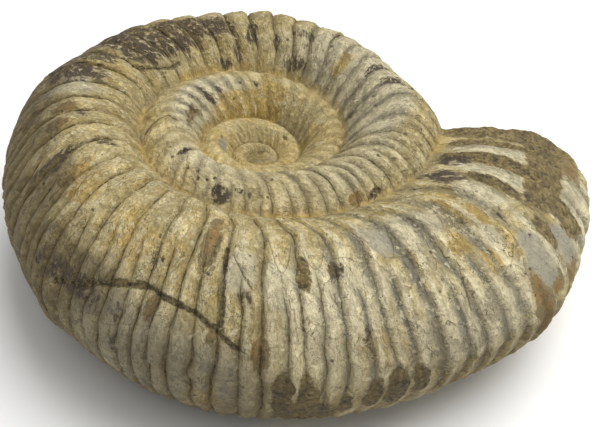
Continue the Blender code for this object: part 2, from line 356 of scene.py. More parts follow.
@dataclass
class RibPattern:
    """The ribs: where they run, how they fork, and how far they stand out."""

    groove_ages: tuple[float, ...] = (
        0.0, 0.20, 0.37, 0.56, 0.73, 0.885, 1.04, 1.18, 1.34, 1.466, 1.585, 1.71, 1.85, 1.977,
        2.095, 2.216, 2.342, 2.473, 2.593, 2.762, 2.909, 3.034, 3.165, 3.312, 3.48, 3.63, 3.78,
        3.93, 4.08, 4.24, 4.41, 4.58, 4.75, 4.92, 5.08, 5.23, 5.41, 5.58, 5.75, 5.93, 6.12, TURN,
    )
    ribs_per_inner_turn: tuple[int, ...] = (31, 34, 28)
    height: float = 0.0115
    line_depth: float = 0.0075
    line_width: float = 0.00050
    trail: float = 0.060
    trail_start: float = 95.0
    trail_span: float = 35.0
    older_trail: float = 0.24
    older_start: float = 50.0
    older_span: float = 115.0
    older_from: float = 5.9
    older_ease: float = 0.9
    older_jitter: float = 0.10
    bends: tuple[Unevenness, ...] = (Unevenness(0.014, 0.014, 5), Unevenness(0.006, 0.004, 6))
    width_change: Unevenness = Unevenness(0.4, 0.006, 7)
    strength_change: Unevenness = Unevenness(0.35, 0.016, 8)
    crest_jitter: float = 0.05
    crest_limits: Span = (0.3, 0.85)
    strength_jitter: float = 0.25
    fork_span: float = 26.0
    fork_jitter: float = 8.0
    fork_place: float = 0.48
    fork_shift: float = 0.10
    fork_dip: float = 0.22
    fork_line: float = 0.75
    datum: float = 0.85
    wall_fade: Span = (82.0, 130.0)
    wall_strength: float = 0.35
    line_wall: Span = (104.0, 132.0)
    low_from: float = 25.0
    low_ease: float = 30.0
    low_round: float = 0.5
    low_strength: float = 0.35
    crest_place_knots: Knots = (
        (0.0, 0.60), (0.7, 0.78), (1.5, 0.78), (2.0, 0.74), (2.6, 0.66), (3.4, 0.62), (4.2, 0.70),
        (5.8, 0.70), (6.4, 0.60), (8.6, 0.60), (9.4, 0.5), (25.0, 0.5),
    )
    rise_knots: Knots = (
        (0.0, 0.9), (0.7, 1.5), (1.4, 1.2), (1.8, 0.55), (2.6, 0.36), (3.5, 0.45), (4.2, 1.0), (5.8, 1.0),
        (6.6, 1.3), (8.6, 1.3), (9.4, 1.0), (25.0, 1.0),
    )
    fall_knots: Knots = (
        (0.0, 0.7), (1.4, 0.8), (1.8, 0.45), (2.6, 0.34), (3.5, 0.42), (4.2, 0.7), (5.8, 0.7), (6.6, 1.3),
        (25.0, 1.0),
    )
    strength_knots: Knots = (
        (0.0, 0.8), (0.6, 0.85), (1.2, 1.0), (1.8, 1.0), (2.6, 1.3), (3.3, 1.6), (4.0, 1.65), (5.2, 1.45),
        (5.7, 0.9), (6.1, 0.75), (6.6, 0.9), (7.6, 1.1), (8.3, 0.9), (8.8, 0.35), (10.4, 0.20), (11.4, 0.40),
        (12.6, 0.45), (14.0, 0.25), (16.0, 0.12), (17.5, 0.20), (18.6, 0.12), (25.0, 0.05),
    )
    line_knots: Knots = (
        (0.0, 0.4), (0.7, 0.15), (1.2, 0.20), (1.42, 0.42), (1.6, 0.72), (1.8, 0.85), (2.5, 0.90),
        (2.8, 1.35), (3.4, 1.6), (4.2, 1.5), (5.1, 1.1), (5.6, 0.45), (6.1, 0.30), (6.4, 0.45),
        (8.4, 0.45), (9.2, 0.10), (11.0, 0.05), (12.0, 0.12),
        (14.0, 0.10), (16.0, 0.05), (25.0, 0.0),
    )
    fork_knots: Knots = (
        (0.0, 76.0), (2.6, 74.0), (3.4, 62.0), (4.2, 40.0), (5.8, 40.0), (6.4, 84.0), (8.6, 84.0),
        (9.4, 60.0), (25.0, 60.0),
    )

    def __post_init__(self) -> None:
        """Lay out the grooves of the older turns after those of the newest."""
        ages = list(self.groove_ages)
        for turn, count in enumerate(self.ribs_per_inner_turn, start=1):
            ages += [TURN * (turn + (rib + 1) / count) for rib in range(count)]
        self.ages = np.array(ages)
        wobble = StoneNoise.chance(np.arange(len(ages))[:, None], 3)
        gap = np.gradient(self.ages)
        older = self.ages > TURN
        self.ages = self.ages + np.where(older, self.older_jitter * wobble * gap, 0.0)
        self.crest_place = SmoothCurve(self.crest_place_knots)
        self.rise_power = SmoothCurve(self.rise_knots)
        self.fall_power = SmoothCurve(self.fall_knots)
        self.strength = SmoothCurve(self.strength_knots)
        self.line_strength = SmoothCurve(self.line_knots)
        self.fork_start = SmoothCurve(self.fork_knots)

    def arch(self, age: Field, part: Field, choice: Field, extra: Field) -> Field:
        """Return the height, from 0 to 1, across one rib.

        Args:
            age: The ages of the places.
            part: How far across the rib each place is, from 0 to 1.
            choice: A random number for each rib, which moves its crest.
            extra: How much more the rib is rounded than its age says.

        Returns:
            The heights.
        """
        crest = np.clip(self.crest_place(age) + self.crest_jitter * choice, *self.crest_limits)
        rising = part < crest
        turned = np.where(rising, 0.5 * part / crest, 0.5 + 0.5 * (part - crest) / (1.0 - crest))
        power = np.where(rising, self.rise_power(age), self.fall_power(age)) + extra
        return np.abs(np.sin(math.pi * turned)) ** power

    def straightened(self, age: Field, reach: Field, points: Field) -> Field:
        """Return the age that a place has after its rib's lean and bends are taken away."""
        lean = self.trail * smooth_step((reach - self.trail_start) / self.trail_span)
        older_lean = self.older_trail * smooth_step((reach - self.older_start) / self.older_span)
        lean = lean + (older_lean - lean) * smooth_step((age - self.older_from) / self.older_ease)
        return age - lean + sum(bend.at(points) for bend in self.bends)

    def relief(self, coil: CoilShape, age: Field, angle: Field, points: Field) -> tuple[Field, ...]:
        """Return how far the ribs lift the surface, and the fields that describe them.

        Args:
            coil: The smooth spiral under the ribs.
            age: The ages of the places.
            angle: Their section angles, in degrees.
            points: Their places on the smooth spiral.

        Returns:
            The lift, the running count of ribs, and the groove, fork and crest fields.
        """
        reach = np.abs(angle)
        rib_age = self.straightened(age, reach, points)
        count = np.interp(rib_age, self.ages, np.arange(len(self.ages)))
        count = np.where(rib_age < 0.0, rib_age / self.ages[1], count)
        index = np.floor(count).astype(np.int64)
        part = count - index
        radius = coil.outer_radius(age)
        pitch = np.interp(rib_age, self.ages, np.gradient(self.ages)) * radius
        choice = StoneNoise.chance(np.stack([index, np.sign(angle).astype(np.int64)], axis=-1), 11)
        split = smooth_step((self.fork_start(age) + self.fork_jitter * choice - reach) / self.fork_span)
        fork = self.fork_place + self.fork_shift * choice + self.fork_shift * (1.0 - split)
        halved = np.where(part < fork, 0.5 * part / fork, 0.5 + 0.5 * (part - fork) / (1.0 - fork))

        low = smooth_step((self.low_from - reach) / self.low_ease) * (age < TURN)
        extra = self.low_round * low
        plain = self.arch(age, part, choice, extra)
        twin = self.arch(age, 2.0 * halved - np.floor(2.0 * halved), choice, extra)
        forked = self.fork_dip + (1.0 - self.fork_dip) * twin
        arch = plain + (forked - plain) * split
        fade = fading(reach, self.wall_fade, self.wall_strength)
        strength = fade * self.strength(age) * (1.0 + self.strength_jitter * choice)
        strength = strength * (1.0 + self.strength_change.at(points)) * (1.0 + self.low_strength * low)
        lift = self.height * strength * (arch - self.datum)

        width = self.line_width * (1.0 + self.width_change.at(points))
        line = np.exp(-((np.minimum(part, 1.0 - part) * pitch / width) ** 2))
        fork_line = split * np.exp(-(((part - fork) * pitch / width) ** 2))
        line_fade = np.where(age < TURN, fading(reach, self.line_wall, self.wall_strength), fade)
        line_strength = line_fade * self.line_strength(age)
        lift = lift - self.line_depth * line_strength * np.maximum(line, self.fork_line * fork_line)
        return radius * lift, index + halved, line_strength, line_strength * split, arch


@dataclass(frozen=True)
class Patch:
    """A mark on the shell, between two ages and two section angles."""

    tint: Tint
    age: Span
    angle: Span
    strength: float = 1.0

    def mask(self, age: Field, angle: Field) -> Field:
        """Return how strongly the patch marks each place.

        Args:
            age: The ages of the places.
            angle: Their section angles, in degrees.

        Returns:
            Numbers from 0 to the patch's strength, with half of it at the patch's edge.
        """
        along = (age - sum(self.age) / 2.0) / (0.5 * abs(self.age[1] - self.age[0]))
        across = (angle - sum(self.angle) / 2.0) / (0.5 * abs(self.angle[1] - self.angle[0]))
        return self.strength / (1.0 + (np.abs(along) ** 2.5 + np.abs(across) ** 2.5) ** 1.8)


@dataclass(frozen=True)
class Flake:
    """A tongue-shaped place where the shell's upper layer has come off a rib."""

    age: Span
    tip: float
    rise: float = 34.0
    drop: float = 0.42 * MM
    edge: float = 0.20 * MM
    stain: float = 0.42
    bared: float = 0.0
    lip: float = 1.6
    reach: float = 1.3
    fade_span: float = 20.0

    def cut(self, age: Field, angle: Field, radius: float, per_degree: float) -> tuple[Field, ...]:
        """Return how far the flake lowers the surface, and its outline.

        Args:
            age: The ages of the places.
            angle: Their section angles, in degrees.
            radius: The coil's outer radius here.
            per_degree: The length of one degree round the section here.

        Returns:
            The lowering, the signed distance from the outline, the outline's strength, and the
            bare inner layer.
        """
        half = (self.age[1] - self.age[0]) / 2.0
        x = (age - sum(self.age) / 2.0) / half
        over = angle - self.tip - self.rise * x * x
        slope = np.hypot(1.0 / per_degree, 2.0 * self.rise * x / (half * radius))
        inside = over / slope
        fade = smooth_step((self.tip + self.rise * 1.1 - angle) / self.fade_span) * (np.abs(x) < self.reach)
        below = smooth_step(inside / (self.lip * self.edge)) * fade
        return self.drop * below, inside, self.stain * fade, self.bared * below


@dataclass(frozen=True)
class Crack:
    """A crack that runs through points of age and section angle."""

    route: tuple[Span, ...]
    width: float
    depth: float
    stain: float = 1.0
    step: float = 0.0
    step_reach: float = 5.0 * MM
    end_reach: float = 1.5 * MM

    def cut(self, age: Field, angle: Field, radius: float, per_degree: float) -> tuple[Field, ...]:
        """Return what Flake.cut returns, for a crack, which bares nothing."""
        best = np.full(np.broadcast(age, angle).shape, 1.0)
        signed = best.copy()
        strength = np.zeros_like(best)
        last = len(self.route) - 2
        for step, (start, end) in enumerate(zip(self.route, self.route[1:])):
            run = np.array(((end[0] - start[0]) * radius, (end[1] - start[1]) * per_degree))
            x = (age - start[0]) * radius
            y = (angle - start[1]) * per_degree
            free = (x * run[0] + y * run[1]) / (run @ run)
            along = np.clip(free, 0.0, 1.0)
            away = np.hypot(x - along * run[0], y - along * run[1])
            closer = away < best
            side = (x * run[1] - y * run[0]) / np.hypot(*run)
            best = np.where(closer, away, best)
            signed = np.where(closer, np.where(side < 0.0, -away, away), signed)
            past = np.maximum(-free if step == 0 else 0.0, free - 1.0 if step == last else 0.0)
            ends = np.clip(1.0 - past * np.hypot(*run) / self.end_reach, 0.0, 1.0)
            strength = np.where(closer, self.stain * ends, strength)
        lower_side = smooth_step(signed / self.width) * np.exp(-((best / self.step_reach) ** 2))
        lowered = self.depth * np.exp(-((best / self.width) ** 2)) + self.step * lower_side
        return lowered, signed, strength, np.zeros_like(best)


# Each row is a span of ages, a span of section angles and a strength, which is 1 if left out.
MARKS: dict[Tint, tuple[tuple, ...]] = {
    # Brown sandy stone: over the broken end, between ribs, and deep in the hollow.
    Tint.MATRIX: (
        ((-0.05, 0.16), (34, 116)), ((-0.05, 0.56), (44, 66)), ((0.18, 0.23), (60, 116), 0.8),
        ((0.325, 0.425), (56, 120)), ((0.52, 0.60), (62, 100), 0.75), ((0.42, 0.53), (20, 56)),
        ((0.58, 0.66), (32, 54), 0.8), ((1.555, 1.605), (58, 79), 0.9), ((1.23, 1.275), (-16, 11)),
        ((1.295, 1.355), (-22, 14)), ((1.37, 1.41), (-20, 8)), ((1.445, 1.485), (-24, -4)),
        ((1.55, 1.605), (-32, 11)), ((1.62, 1.675), (-18, 13)), ((1.48, 1.67), (-40, -11)),
        ((9.4, 10.4), (112, 140), 0.45),
    ),
    # Rusty stains.
    Tint.RUST: (
        ((0.06, 0.26), (26, 50), 0.9), ((0.56, 0.63), (4, 28), 1.1), ((0.68, 0.75), (12, 26)),
        ((0.76, 0.84), (-10, 33), 1.1), ((1.88, 1.945), (60, 106), 0.85), ((1.60, 1.65), (98, 110), 0.6),
        ((1.685, 1.735), (16, 34)), ((2.035, 2.075), (27, 41), 0.9), ((1.84, 1.875), (24, 33), 0.8),
        ((2.935, 2.995), (64, 83), 0.9), ((3.045, 3.115), (70, 93), 0.8), ((3.095, 3.165), (38, 61), 0.8),
        ((6.00, 6.12), (80, 100), 0.5), ((7.32, 7.43), (49, 58), 1.2), ((11.1, 11.5), (128, 160), 0.4),
        ((18.25, 18.55), (98, 114), 0.9),
    ),
    # Dark film, in grooves and over the back of the coil, and painted shade low on the front-left flank.
    Tint.DARK: (
        ((0.36, 0.50), (101, 118)), ((0.54, 0.72), (98, 119), 1.1), ((0.52, 0.56), (66, 71), 0.9),
        ((0.50, 0.55), (58, 64), 0.9), ((0.31, 0.34), (54, 60), 0.9), ((0.72, 0.745), (63, 69), 0.9),
        ((0.70, 0.72), (47, 51), 0.8), ((1.02, 1.07), (84, 104), 0.5), ((1.43, 1.485), (65, 76), 1.1),
        ((1.46, 1.52), (50, 63), 0.6), ((1.74, 1.80), (47, 54)), ((1.89, 1.91), (76, 80), 0.9),
        ((1.24, 1.26), (27, 41), 0.9), ((1.315, 1.335), (26, 38), 0.9), ((1.39, 1.41), (26, 39), 0.9),
        ((1.69, 1.72), (20, 30), 0.8), ((2.13, 2.21), (17, 29), 0.9), ((2.20, 2.56), (14, 34), 1.05),
        # The first row below, low on the front-left flank, is partly dark film and partly painted shade.
        ((2.30, 2.80), (-34, 20), 0.55), ((2.045, 2.095), (54, 61)), ((2.11, 2.13), (69, 73), 0.8),
        ((2.715, 2.80), (99, 119)), ((2.715, 2.81), (38, 86), 1.2), ((2.84, 2.87), (87, 101), 0.8),
        ((2.965, 3.03), (84, 106), 0.8), ((3.33, 3.48), (56, 108), 1.5), ((3.52, 3.64), (54, 106), 1.6),
        ((3.70, 4.02), (62, 121), 1.8), ((3.98, 4.38), (84, 122), 1.7), ((4.30, 4.62), (90, 116), 1.2),
        ((4.41, 4.56), (134, 141)), ((4.57, 4.65), (121, 137), 0.9), ((4.71, 4.81), (102, 126)),
        ((4.945, 5.005), (111, 125), 0.9), ((5.09, 5.31), (126, 139), 1.1),
        ((5.195, 5.265), (114, 122), 0.9), ((5.09, 5.31), (97, 113), 0.7), ((5.86, 5.96), (78, 112), 0.9),
        ((6.06, 6.18), (70, 104)), ((6.14, 6.26), (66, 82)), ((7.19, 7.29), (46, 56)),
        ((7.35, 7.41), (44, 48)), ((8.23, 8.37), (52, 69), 1.2), ((8.14, 8.20), (65, 72)),
        ((8.06, 8.11), (59, 71), 0.9), ((8.36, 8.40), (73, 77), 0.9), ((8.42, 8.46), (68, 72), 0.9),
        ((8.48, 8.52), (66, 70), 0.9), ((8.53, 8.57), (74, 78), 0.9), ((8.79, 8.85), (80, 107), 0.9),
        ((10.18, 10.36), (117, 131), 0.8), ((11.03, 11.17), (104, 116), 0.7),
        ((9.7, 10.7), (94, 136), 0.50),
    ),
    # Whiter shell, and painted light over the back wall and the older turns in the hollow.
    Tint.PALE: (
        ((0.10, 0.16), (62, 74), 1.2), ((0.23, 0.315), (63, 112), 1.2), ((0.43, 0.525), (63, 108), 1.2),
        ((0.20, 0.56), (5, 44)), ((0.645, 0.685), (14, 60), 1.2), ((0.60, 0.76), (70, 100), 0.9),
        ((0.815, 0.875), (56, 69), 1.3), ((0.90, 1.32), (74, 104), 0.7), ((0.86, 1.30), (5, 46), 0.7),
        ((1.44, 1.56), (46, 68), 1.1), ((1.58, 1.70), (50, 70), 1.2), ((1.75, 1.84), (55, 76), 1.2),
        ((0.80, 1.70), (4, 76), 0.45), ((2.25, 2.28), (61, 67), 1.2), ((1.72, 2.30), (-30, 30), 0.75),
        ((3.19, 3.36), (58, 106), 0.8), ((3.92, 3.98), (98, 108), 1.2), ((5.41, 5.51), (106, 126)),
        # The rows from here on, over the back wall and the older turns in the hollow, are painted light.
        ((5.40, 6.70), (80, 150), 1.5), ((6.3, 9.3), (30, 160), 0.40), ((12.4, 14.2), (30, 160), 0.2),
        ((9.3, 10.9), (90, 146), 0.8),
    ),
    # Smooth grey hollows where the shell is gone.
    Tint.FACET: (
        ((0.692, 0.788), (22, 53), 1.15), ((0.535, 0.632), (18, 43), 1.15),
        ((15.4, 16.05), (108, 136), 0.8),
    ),
    # Yellow stains.
    Tint.OCHRE: (
        ((0.77, 0.85), (68, 83), 1.2), ((0.76, 0.83), (46, 59), 1.2), ((0.87, 0.93), (46, 58), 1.2),
        ((0.93, 1.01), (61, 74), 1.2), ((0.79, 0.88), (84, 112), 0.8), ((1.24, 1.50), (8, 44), 0.5),
        ((1.80, 1.92), (-24, -7), 0.9), ((2.42, 2.76), (58, 86)), ((1.96, 2.40), (48, 84), 0.6),
        ((5.58, 5.72), (102, 128), 0.9), ((10.3, 11.5), (122, 166), 1.6), ((11.15, 11.55), (100, 150), 1.2),
        ((8.3, 9.3), (40, 84), 0.45),
    ),
    # Grey valleys between the ribs.
    Tint.VALLEY: (
        ((0.80, 1.66), (-24, 106), 1.2), ((0.24, 0.60), (-8, 30), 0.6), ((6.35, 8.5), (30, 150), 0.14),
    ),
    # Dirt on the flanks and round the crack, and painted shade: the same mask darkens the far-left flank and
    # the lower flanks.
    Tint.GRIME: (
        ((2.20, 4.30), (-80, 46), 1.5), ((1.60, 2.40), (-80, 26), 1.15), ((0.50, 1.75), (-80, 14), 0.65),
        ((0.85, 1.60), (0, 44), 0.45), ((2.70, 4.30), (24, 78), 0.85), ((2.18, 2.66), (10, 40), 2.4),
        ((2.58, 2.80), (30, 74), 1.2),
    ),
}

FLAKES = (
    Flake((1.16, 1.34), 73.0, 34.0, 0.42 * MM, 0.20 * MM, 0.50, 0.9),
    Flake((0.90, 1.05), 80.0, 30.0, 0.25 * MM, 0.20 * MM, 0.45, 0.3),
    Flake((1.47, 1.59), 71.0, 24.0, 0.20 * MM, 0.20 * MM, 0.38),
    Flake((1.60, 1.70), 68.0, 28.0, 0.20 * MM, 0.20 * MM, 0.42),
    Flake((1.88, 1.945), 60.0, 40.0, 0.18 * MM, 0.20 * MM, 0.50),
    Flake((1.06, 1.16), 60.0, 28.0, 0.18 * MM, 0.20 * MM, 0.36, 0.5),
)

CRACKS = (
    Crack((
        (1.775, 26.0), (1.80, 28.0), (1.82, 31.0), (1.86, 35.0), (1.90, 39.0), (1.96, 41.0), (2.02, 42.0),
        (2.07, 44.5), (2.12, 43.0), (2.18, 39.0), (2.22, 36.0), (2.27, 32.0), (2.31, 26.0), (2.35, 22.0),
    ), 0.60 * MM, 0.70 * MM, 1.0, 0.60 * MM),
    Crack((
        (2.10, 43.5), (2.18, 39.0), (2.22, 36.0), (2.27, 32.0), (2.33, 25.0), (2.42, 18.0),
    ), 1.0 * MM, 0.60 * MM, 1.4),
    Crack(((1.755, 25.0), (1.775, 26.0)), 0.3 * MM, 0.3 * MM, 0.6),
    Crack(((1.15, 74.0), (1.20, 73.0), (1.25, 72.5)), 0.22 * MM, 0.25 * MM, 0.5),
    Crack(((1.845, 79.0), (1.81, 70.0), (1.775, 62.0), (1.75, 57.0)), 0.35 * MM, 0.40 * MM, 0.6),
    Crack(((1.848, 78.0), (1.842, 60.0), (1.835, 46.0), (1.832, 36.0)), 0.45 * MM, 0.60 * MM, 0.9),
    Crack(((1.885, 64.0), (1.90, 60.0), (1.925, 60.5), (1.945, 68.0)), 0.22 * MM, 0.25 * MM, 0.5),
    Crack(((1.02, 60.0), (1.035, 52.0), (1.05, 42.0), (1.06, 34.0)), 0.22 * MM, 0.30 * MM, 0.55),
    Crack(((0.765, 62.0), (0.775, 55.0), (0.79, 50.0)), 0.20 * MM, 0.25 * MM, 0.55),
    Crack((
        (3.66, 118.0), (3.74, 125.0), (3.86, 130.0), (3.97, 133.0), (4.06, 132.0),
    ), 0.5 * MM, 0.5 * MM, 0.8),
    Crack(((9.30, 60.0), (9.36, 72.0), (9.42, 86.0), (9.45, 98.0), (9.40, 108.0)), 0.35 * MM, 0.45 * MM, 0.7),
    Crack(((8.82, 80.0), (8.82, 92.0), (8.80, 105.0)), 0.40 * MM, 0.45 * MM, 0.7),
)


@dataclass
class Weathering:
    """What time did to the shell: stone in the grooves, stains, flakes, cracks and wear. Some of its marks
    also carry painted light and painted shade.
    """

    age_warp: Unevenness = Unevenness(0.010, 0.0035, 21, 3)
    angle_warp: Unevenness = Unevenness(1.6, 0.003, 25, 3)
    undulation: Unevenness = Unevenness(0.35 * MM, 0.020, 31, 2)
    layers: Unevenness = Unevenness(1.0, 1.0, 41, 4)
    pitting: Unevenness = Unevenness(0.09 * MM, 0.0024, 51, 3)
    lumps: Unevenness = Unevenness(0.13 * MM, 0.0065, 55, 2)
    crumbs: Unevenness = Unevenness(0.30 * MM, 0.0018, 61, 3)
    layer_step: float = 0.24 * MM
    layers_per_rib: float = 2.2
    layer_degrees: float = 16.0
    layer_level: float = 0.05
    layer_sharpness: float = 5.0
    fill_level: float = -0.15 * MM
    fill_relief: float = 0.30
    stain_depth: float = 0.15 * MM
    hollow_depth: float = 0.55 * MM
    hollow_relief: float = 0.22
    line_reach: float = 3.0 * MM
    stain_reach: float = 0.6
    cut_margin: float = 0.08
    section_size: float = 0.36
    full_radius: float = 0.06
    least_scale: float = 0.35
    groove_loss: float = 0.7

    def marks(self, age: Field, angle: Field, points: Field) -> dict[Tint, Field]:
        """Return the patches' masks on a grid.

        Args:
            age: The age of each column, in rising order, as a column vector.
            angle: The section angles, in degrees, one row for each age.
            points: The places on the smooth spiral.

        Returns:
            A mask for each tint.
        """
        warped_age = age + self.age_warp.at(points)
        warped_angle = angle + self.angle_warp.at(points)
        masks = {tint: np.zeros(angle.shape) for tint in Tint}
        columns = age[:, 0]
        for patch in (Patch(tint, *row) for tint, rows in MARKS.items() for row in rows):
            spare = patch.age[1] - patch.age[0]
            first, last = np.searchsorted(columns, (patch.age[0] - spare, patch.age[1] + spare))
            if first < last:
                part = slice(first, last)
                mask = patch.mask(warped_age[part], warped_angle[part])
                masks[patch.tint][part] = np.maximum(masks[patch.tint][part], mask)
        return masks

    def cuts(self, coil: CoilShape, age: Field, angle: Field) -> tuple[Field, ...]:
        """Return how far flakes and cracks lower the surface, and where they run.

        Args:
            coil: The smooth spiral.
            age: The age of each column, as a column vector.
            angle: The section angles, in degrees.

        Returns:
            The lowering, the distance from the nearest line as a share of the line's reach, the
            line's strength, and the bare inner layer of the flakes.
        """
        lowered, strength, bare = (np.zeros(angle.shape) for _ in range(3))
        nearest = np.ones(angle.shape)
        columns = age[:, 0]
        for mark in FLAKES + CRACKS:
            ages = mark.age if isinstance(mark, Flake) else tuple(point[0] for point in mark.route)
            first, last = np.searchsorted(columns, (min(ages) - self.cut_margin, max(ages) + self.cut_margin))
            if first >= last:
                continue
            part = slice(first, last)
            radius = float(coil.outer_radius(np.array(sum(ages) / len(ages))))
            per_degree = radius * math.radians(self.section_size)
            cut, away, stain, inner = mark.cut(age[part], angle[part], radius, per_degree)
            stain = stain * np.exp(-((away / (self.stain_reach * self.line_reach)) ** 2))
            stronger = stain > strength[part]
            nearest[part] = np.where(stronger, np.clip(away / self.line_reach, -1.0, 1.0), nearest[part])
            strength[part] = np.maximum(strength[part], stain)
            lowered[part] = np.maximum(lowered[part], cut)
            bare[part] = np.maximum(bare[part], inner)
        return lowered, nearest, strength, bare

    def surface(
        self, coil: CoilShape, ribs: RibPattern, age: Field, angle: Field, points: Field
    ) -> tuple[Field, Field, dict[Tint, Field]]:
        """Return how far the finished surface stands out, and the fields that its finish reads.

        Args:
            coil: The smooth spiral.
            ribs: The ribs on it.
            age: The age of each column, as a column vector.
            angle: The section angles, in degrees.
            points: The places on the smooth spiral.

        Returns:
            The lift in metres, the running count of ribs, and a field for each tint.
        """
        lift, count, grooves, forks, arch = ribs.relief(coil, age, angle, points)
        masks = self.marks(age, angle, points)
        cut, masks[Tint.LINE], masks[Tint.LINE_STRENGTH], masks[Tint.FLAKE] = self.cuts(coil, age, angle)
        size = float(coil.outer_radius(age.mean()) / self.full_radius)
        scale = min(1.0, self.least_scale + (1.0 - self.least_scale) * size)
        along = np.stack(
            [count * self.layers_per_rib, angle / self.layer_degrees, np.zeros(angle.shape)], axis=-1
        )
        layer = smooth_step(self.layer_sharpness * (self.layers.at(along) - self.layer_level))
        grain = self.pitting.at(points) + self.lumps.at(points)
        uneven = self.undulation.at(points) + grain + self.layer_step * (layer - 0.5)
        lift = lift + scale * uneven - scale * cut
        filled = np.clip(1.6 * masks[Tint.MATRIX] - 0.3, 0.0, 1.0)
        stone = self.fill_level + self.crumbs.at(points) + self.fill_relief * lift
        lift = lift + (stone - lift) * filled
        smooth = np.clip(1.5 * masks[Tint.FACET], 0.0, 1.0)
        ribbed = coil.outer_radius(age) * ribs.height * self.hollow_relief * (arch - ribs.datum)
        hollow = scale * self.hollow_depth * masks[Tint.FACET]
        lift = lift + (ribbed - hollow - lift) * smooth
        lift = lift - self.stain_depth * masks[Tint.RUST]
        lift = lift - self.stain_depth * masks[Tint.DARK] * (1.0 - filled) + coil.swell(age, angle)
        masks[Tint.GROOVE] = grooves * (1.0 - self.groove_loss * filled) * (1.0 - smooth)
        masks[Tint.FORK] = forks * (1.0 - self.groove_loss * filled) * (1.0 - smooth)
        masks[Tint.CREST] = arch
        return lift, count, masks


@dataclass
class GridPart:
    """A grid of points with its marks, ready to become a mesh."""

    name: str
    points: Field
    count: Field
    angle: Field
    masks: dict[Tint, Field]

    def build(self) -> bpy.types.Object:
        """Add a grid primitive and roll its points into place.

        Returns:
            The new object.
        """
        columns, rows = self.points.shape[:2]
        bpy.ops.object.select_all(action="DESELECT")
        bpy.ops.mesh.primitive_grid_add(x_subdivisions=columns - 1, y_subdivisions=rows - 1, size=1.0)
        part = bpy.context.object
        part.name = self.name
        flat = np.empty(len(part.data.vertices) * 3, dtype=np.float32)
        part.data.vertices.foreach_get("co", flat)
        flat = flat.reshape(-1, 3)
        column = np.rint((flat[:, 0] + 0.5) * (columns - 1)).astype(int)
        row = np.rint((flat[:, 1] + 0.5) * (rows - 1)).astype(int)
        part.data.vertices.foreach_set("co", self.points[column, row].astype(np.float32).ravel())
        for tint in Tint:
            layer = part.data.attributes.new(tint.value, "FLOAT", "POINT")
            layer.data.foreach_set("value", self.masks[tint][column, row].astype(np.float32))
        corner = np.empty(len(part.data.loops), dtype=np.int32)
        part.data.loops.foreach_get("vertex_index", corner)
        sheet = part.data.uv_layers[0]
        sheet.name = COIL_SHEET
        spot = np.stack([self.count[column, row], self.angle[column, row] / 10.0], axis=-1)
        sheet.uv.foreach_set("vector", spot[corner].astype(np.float32).ravel())
        part.data.update()
        return part


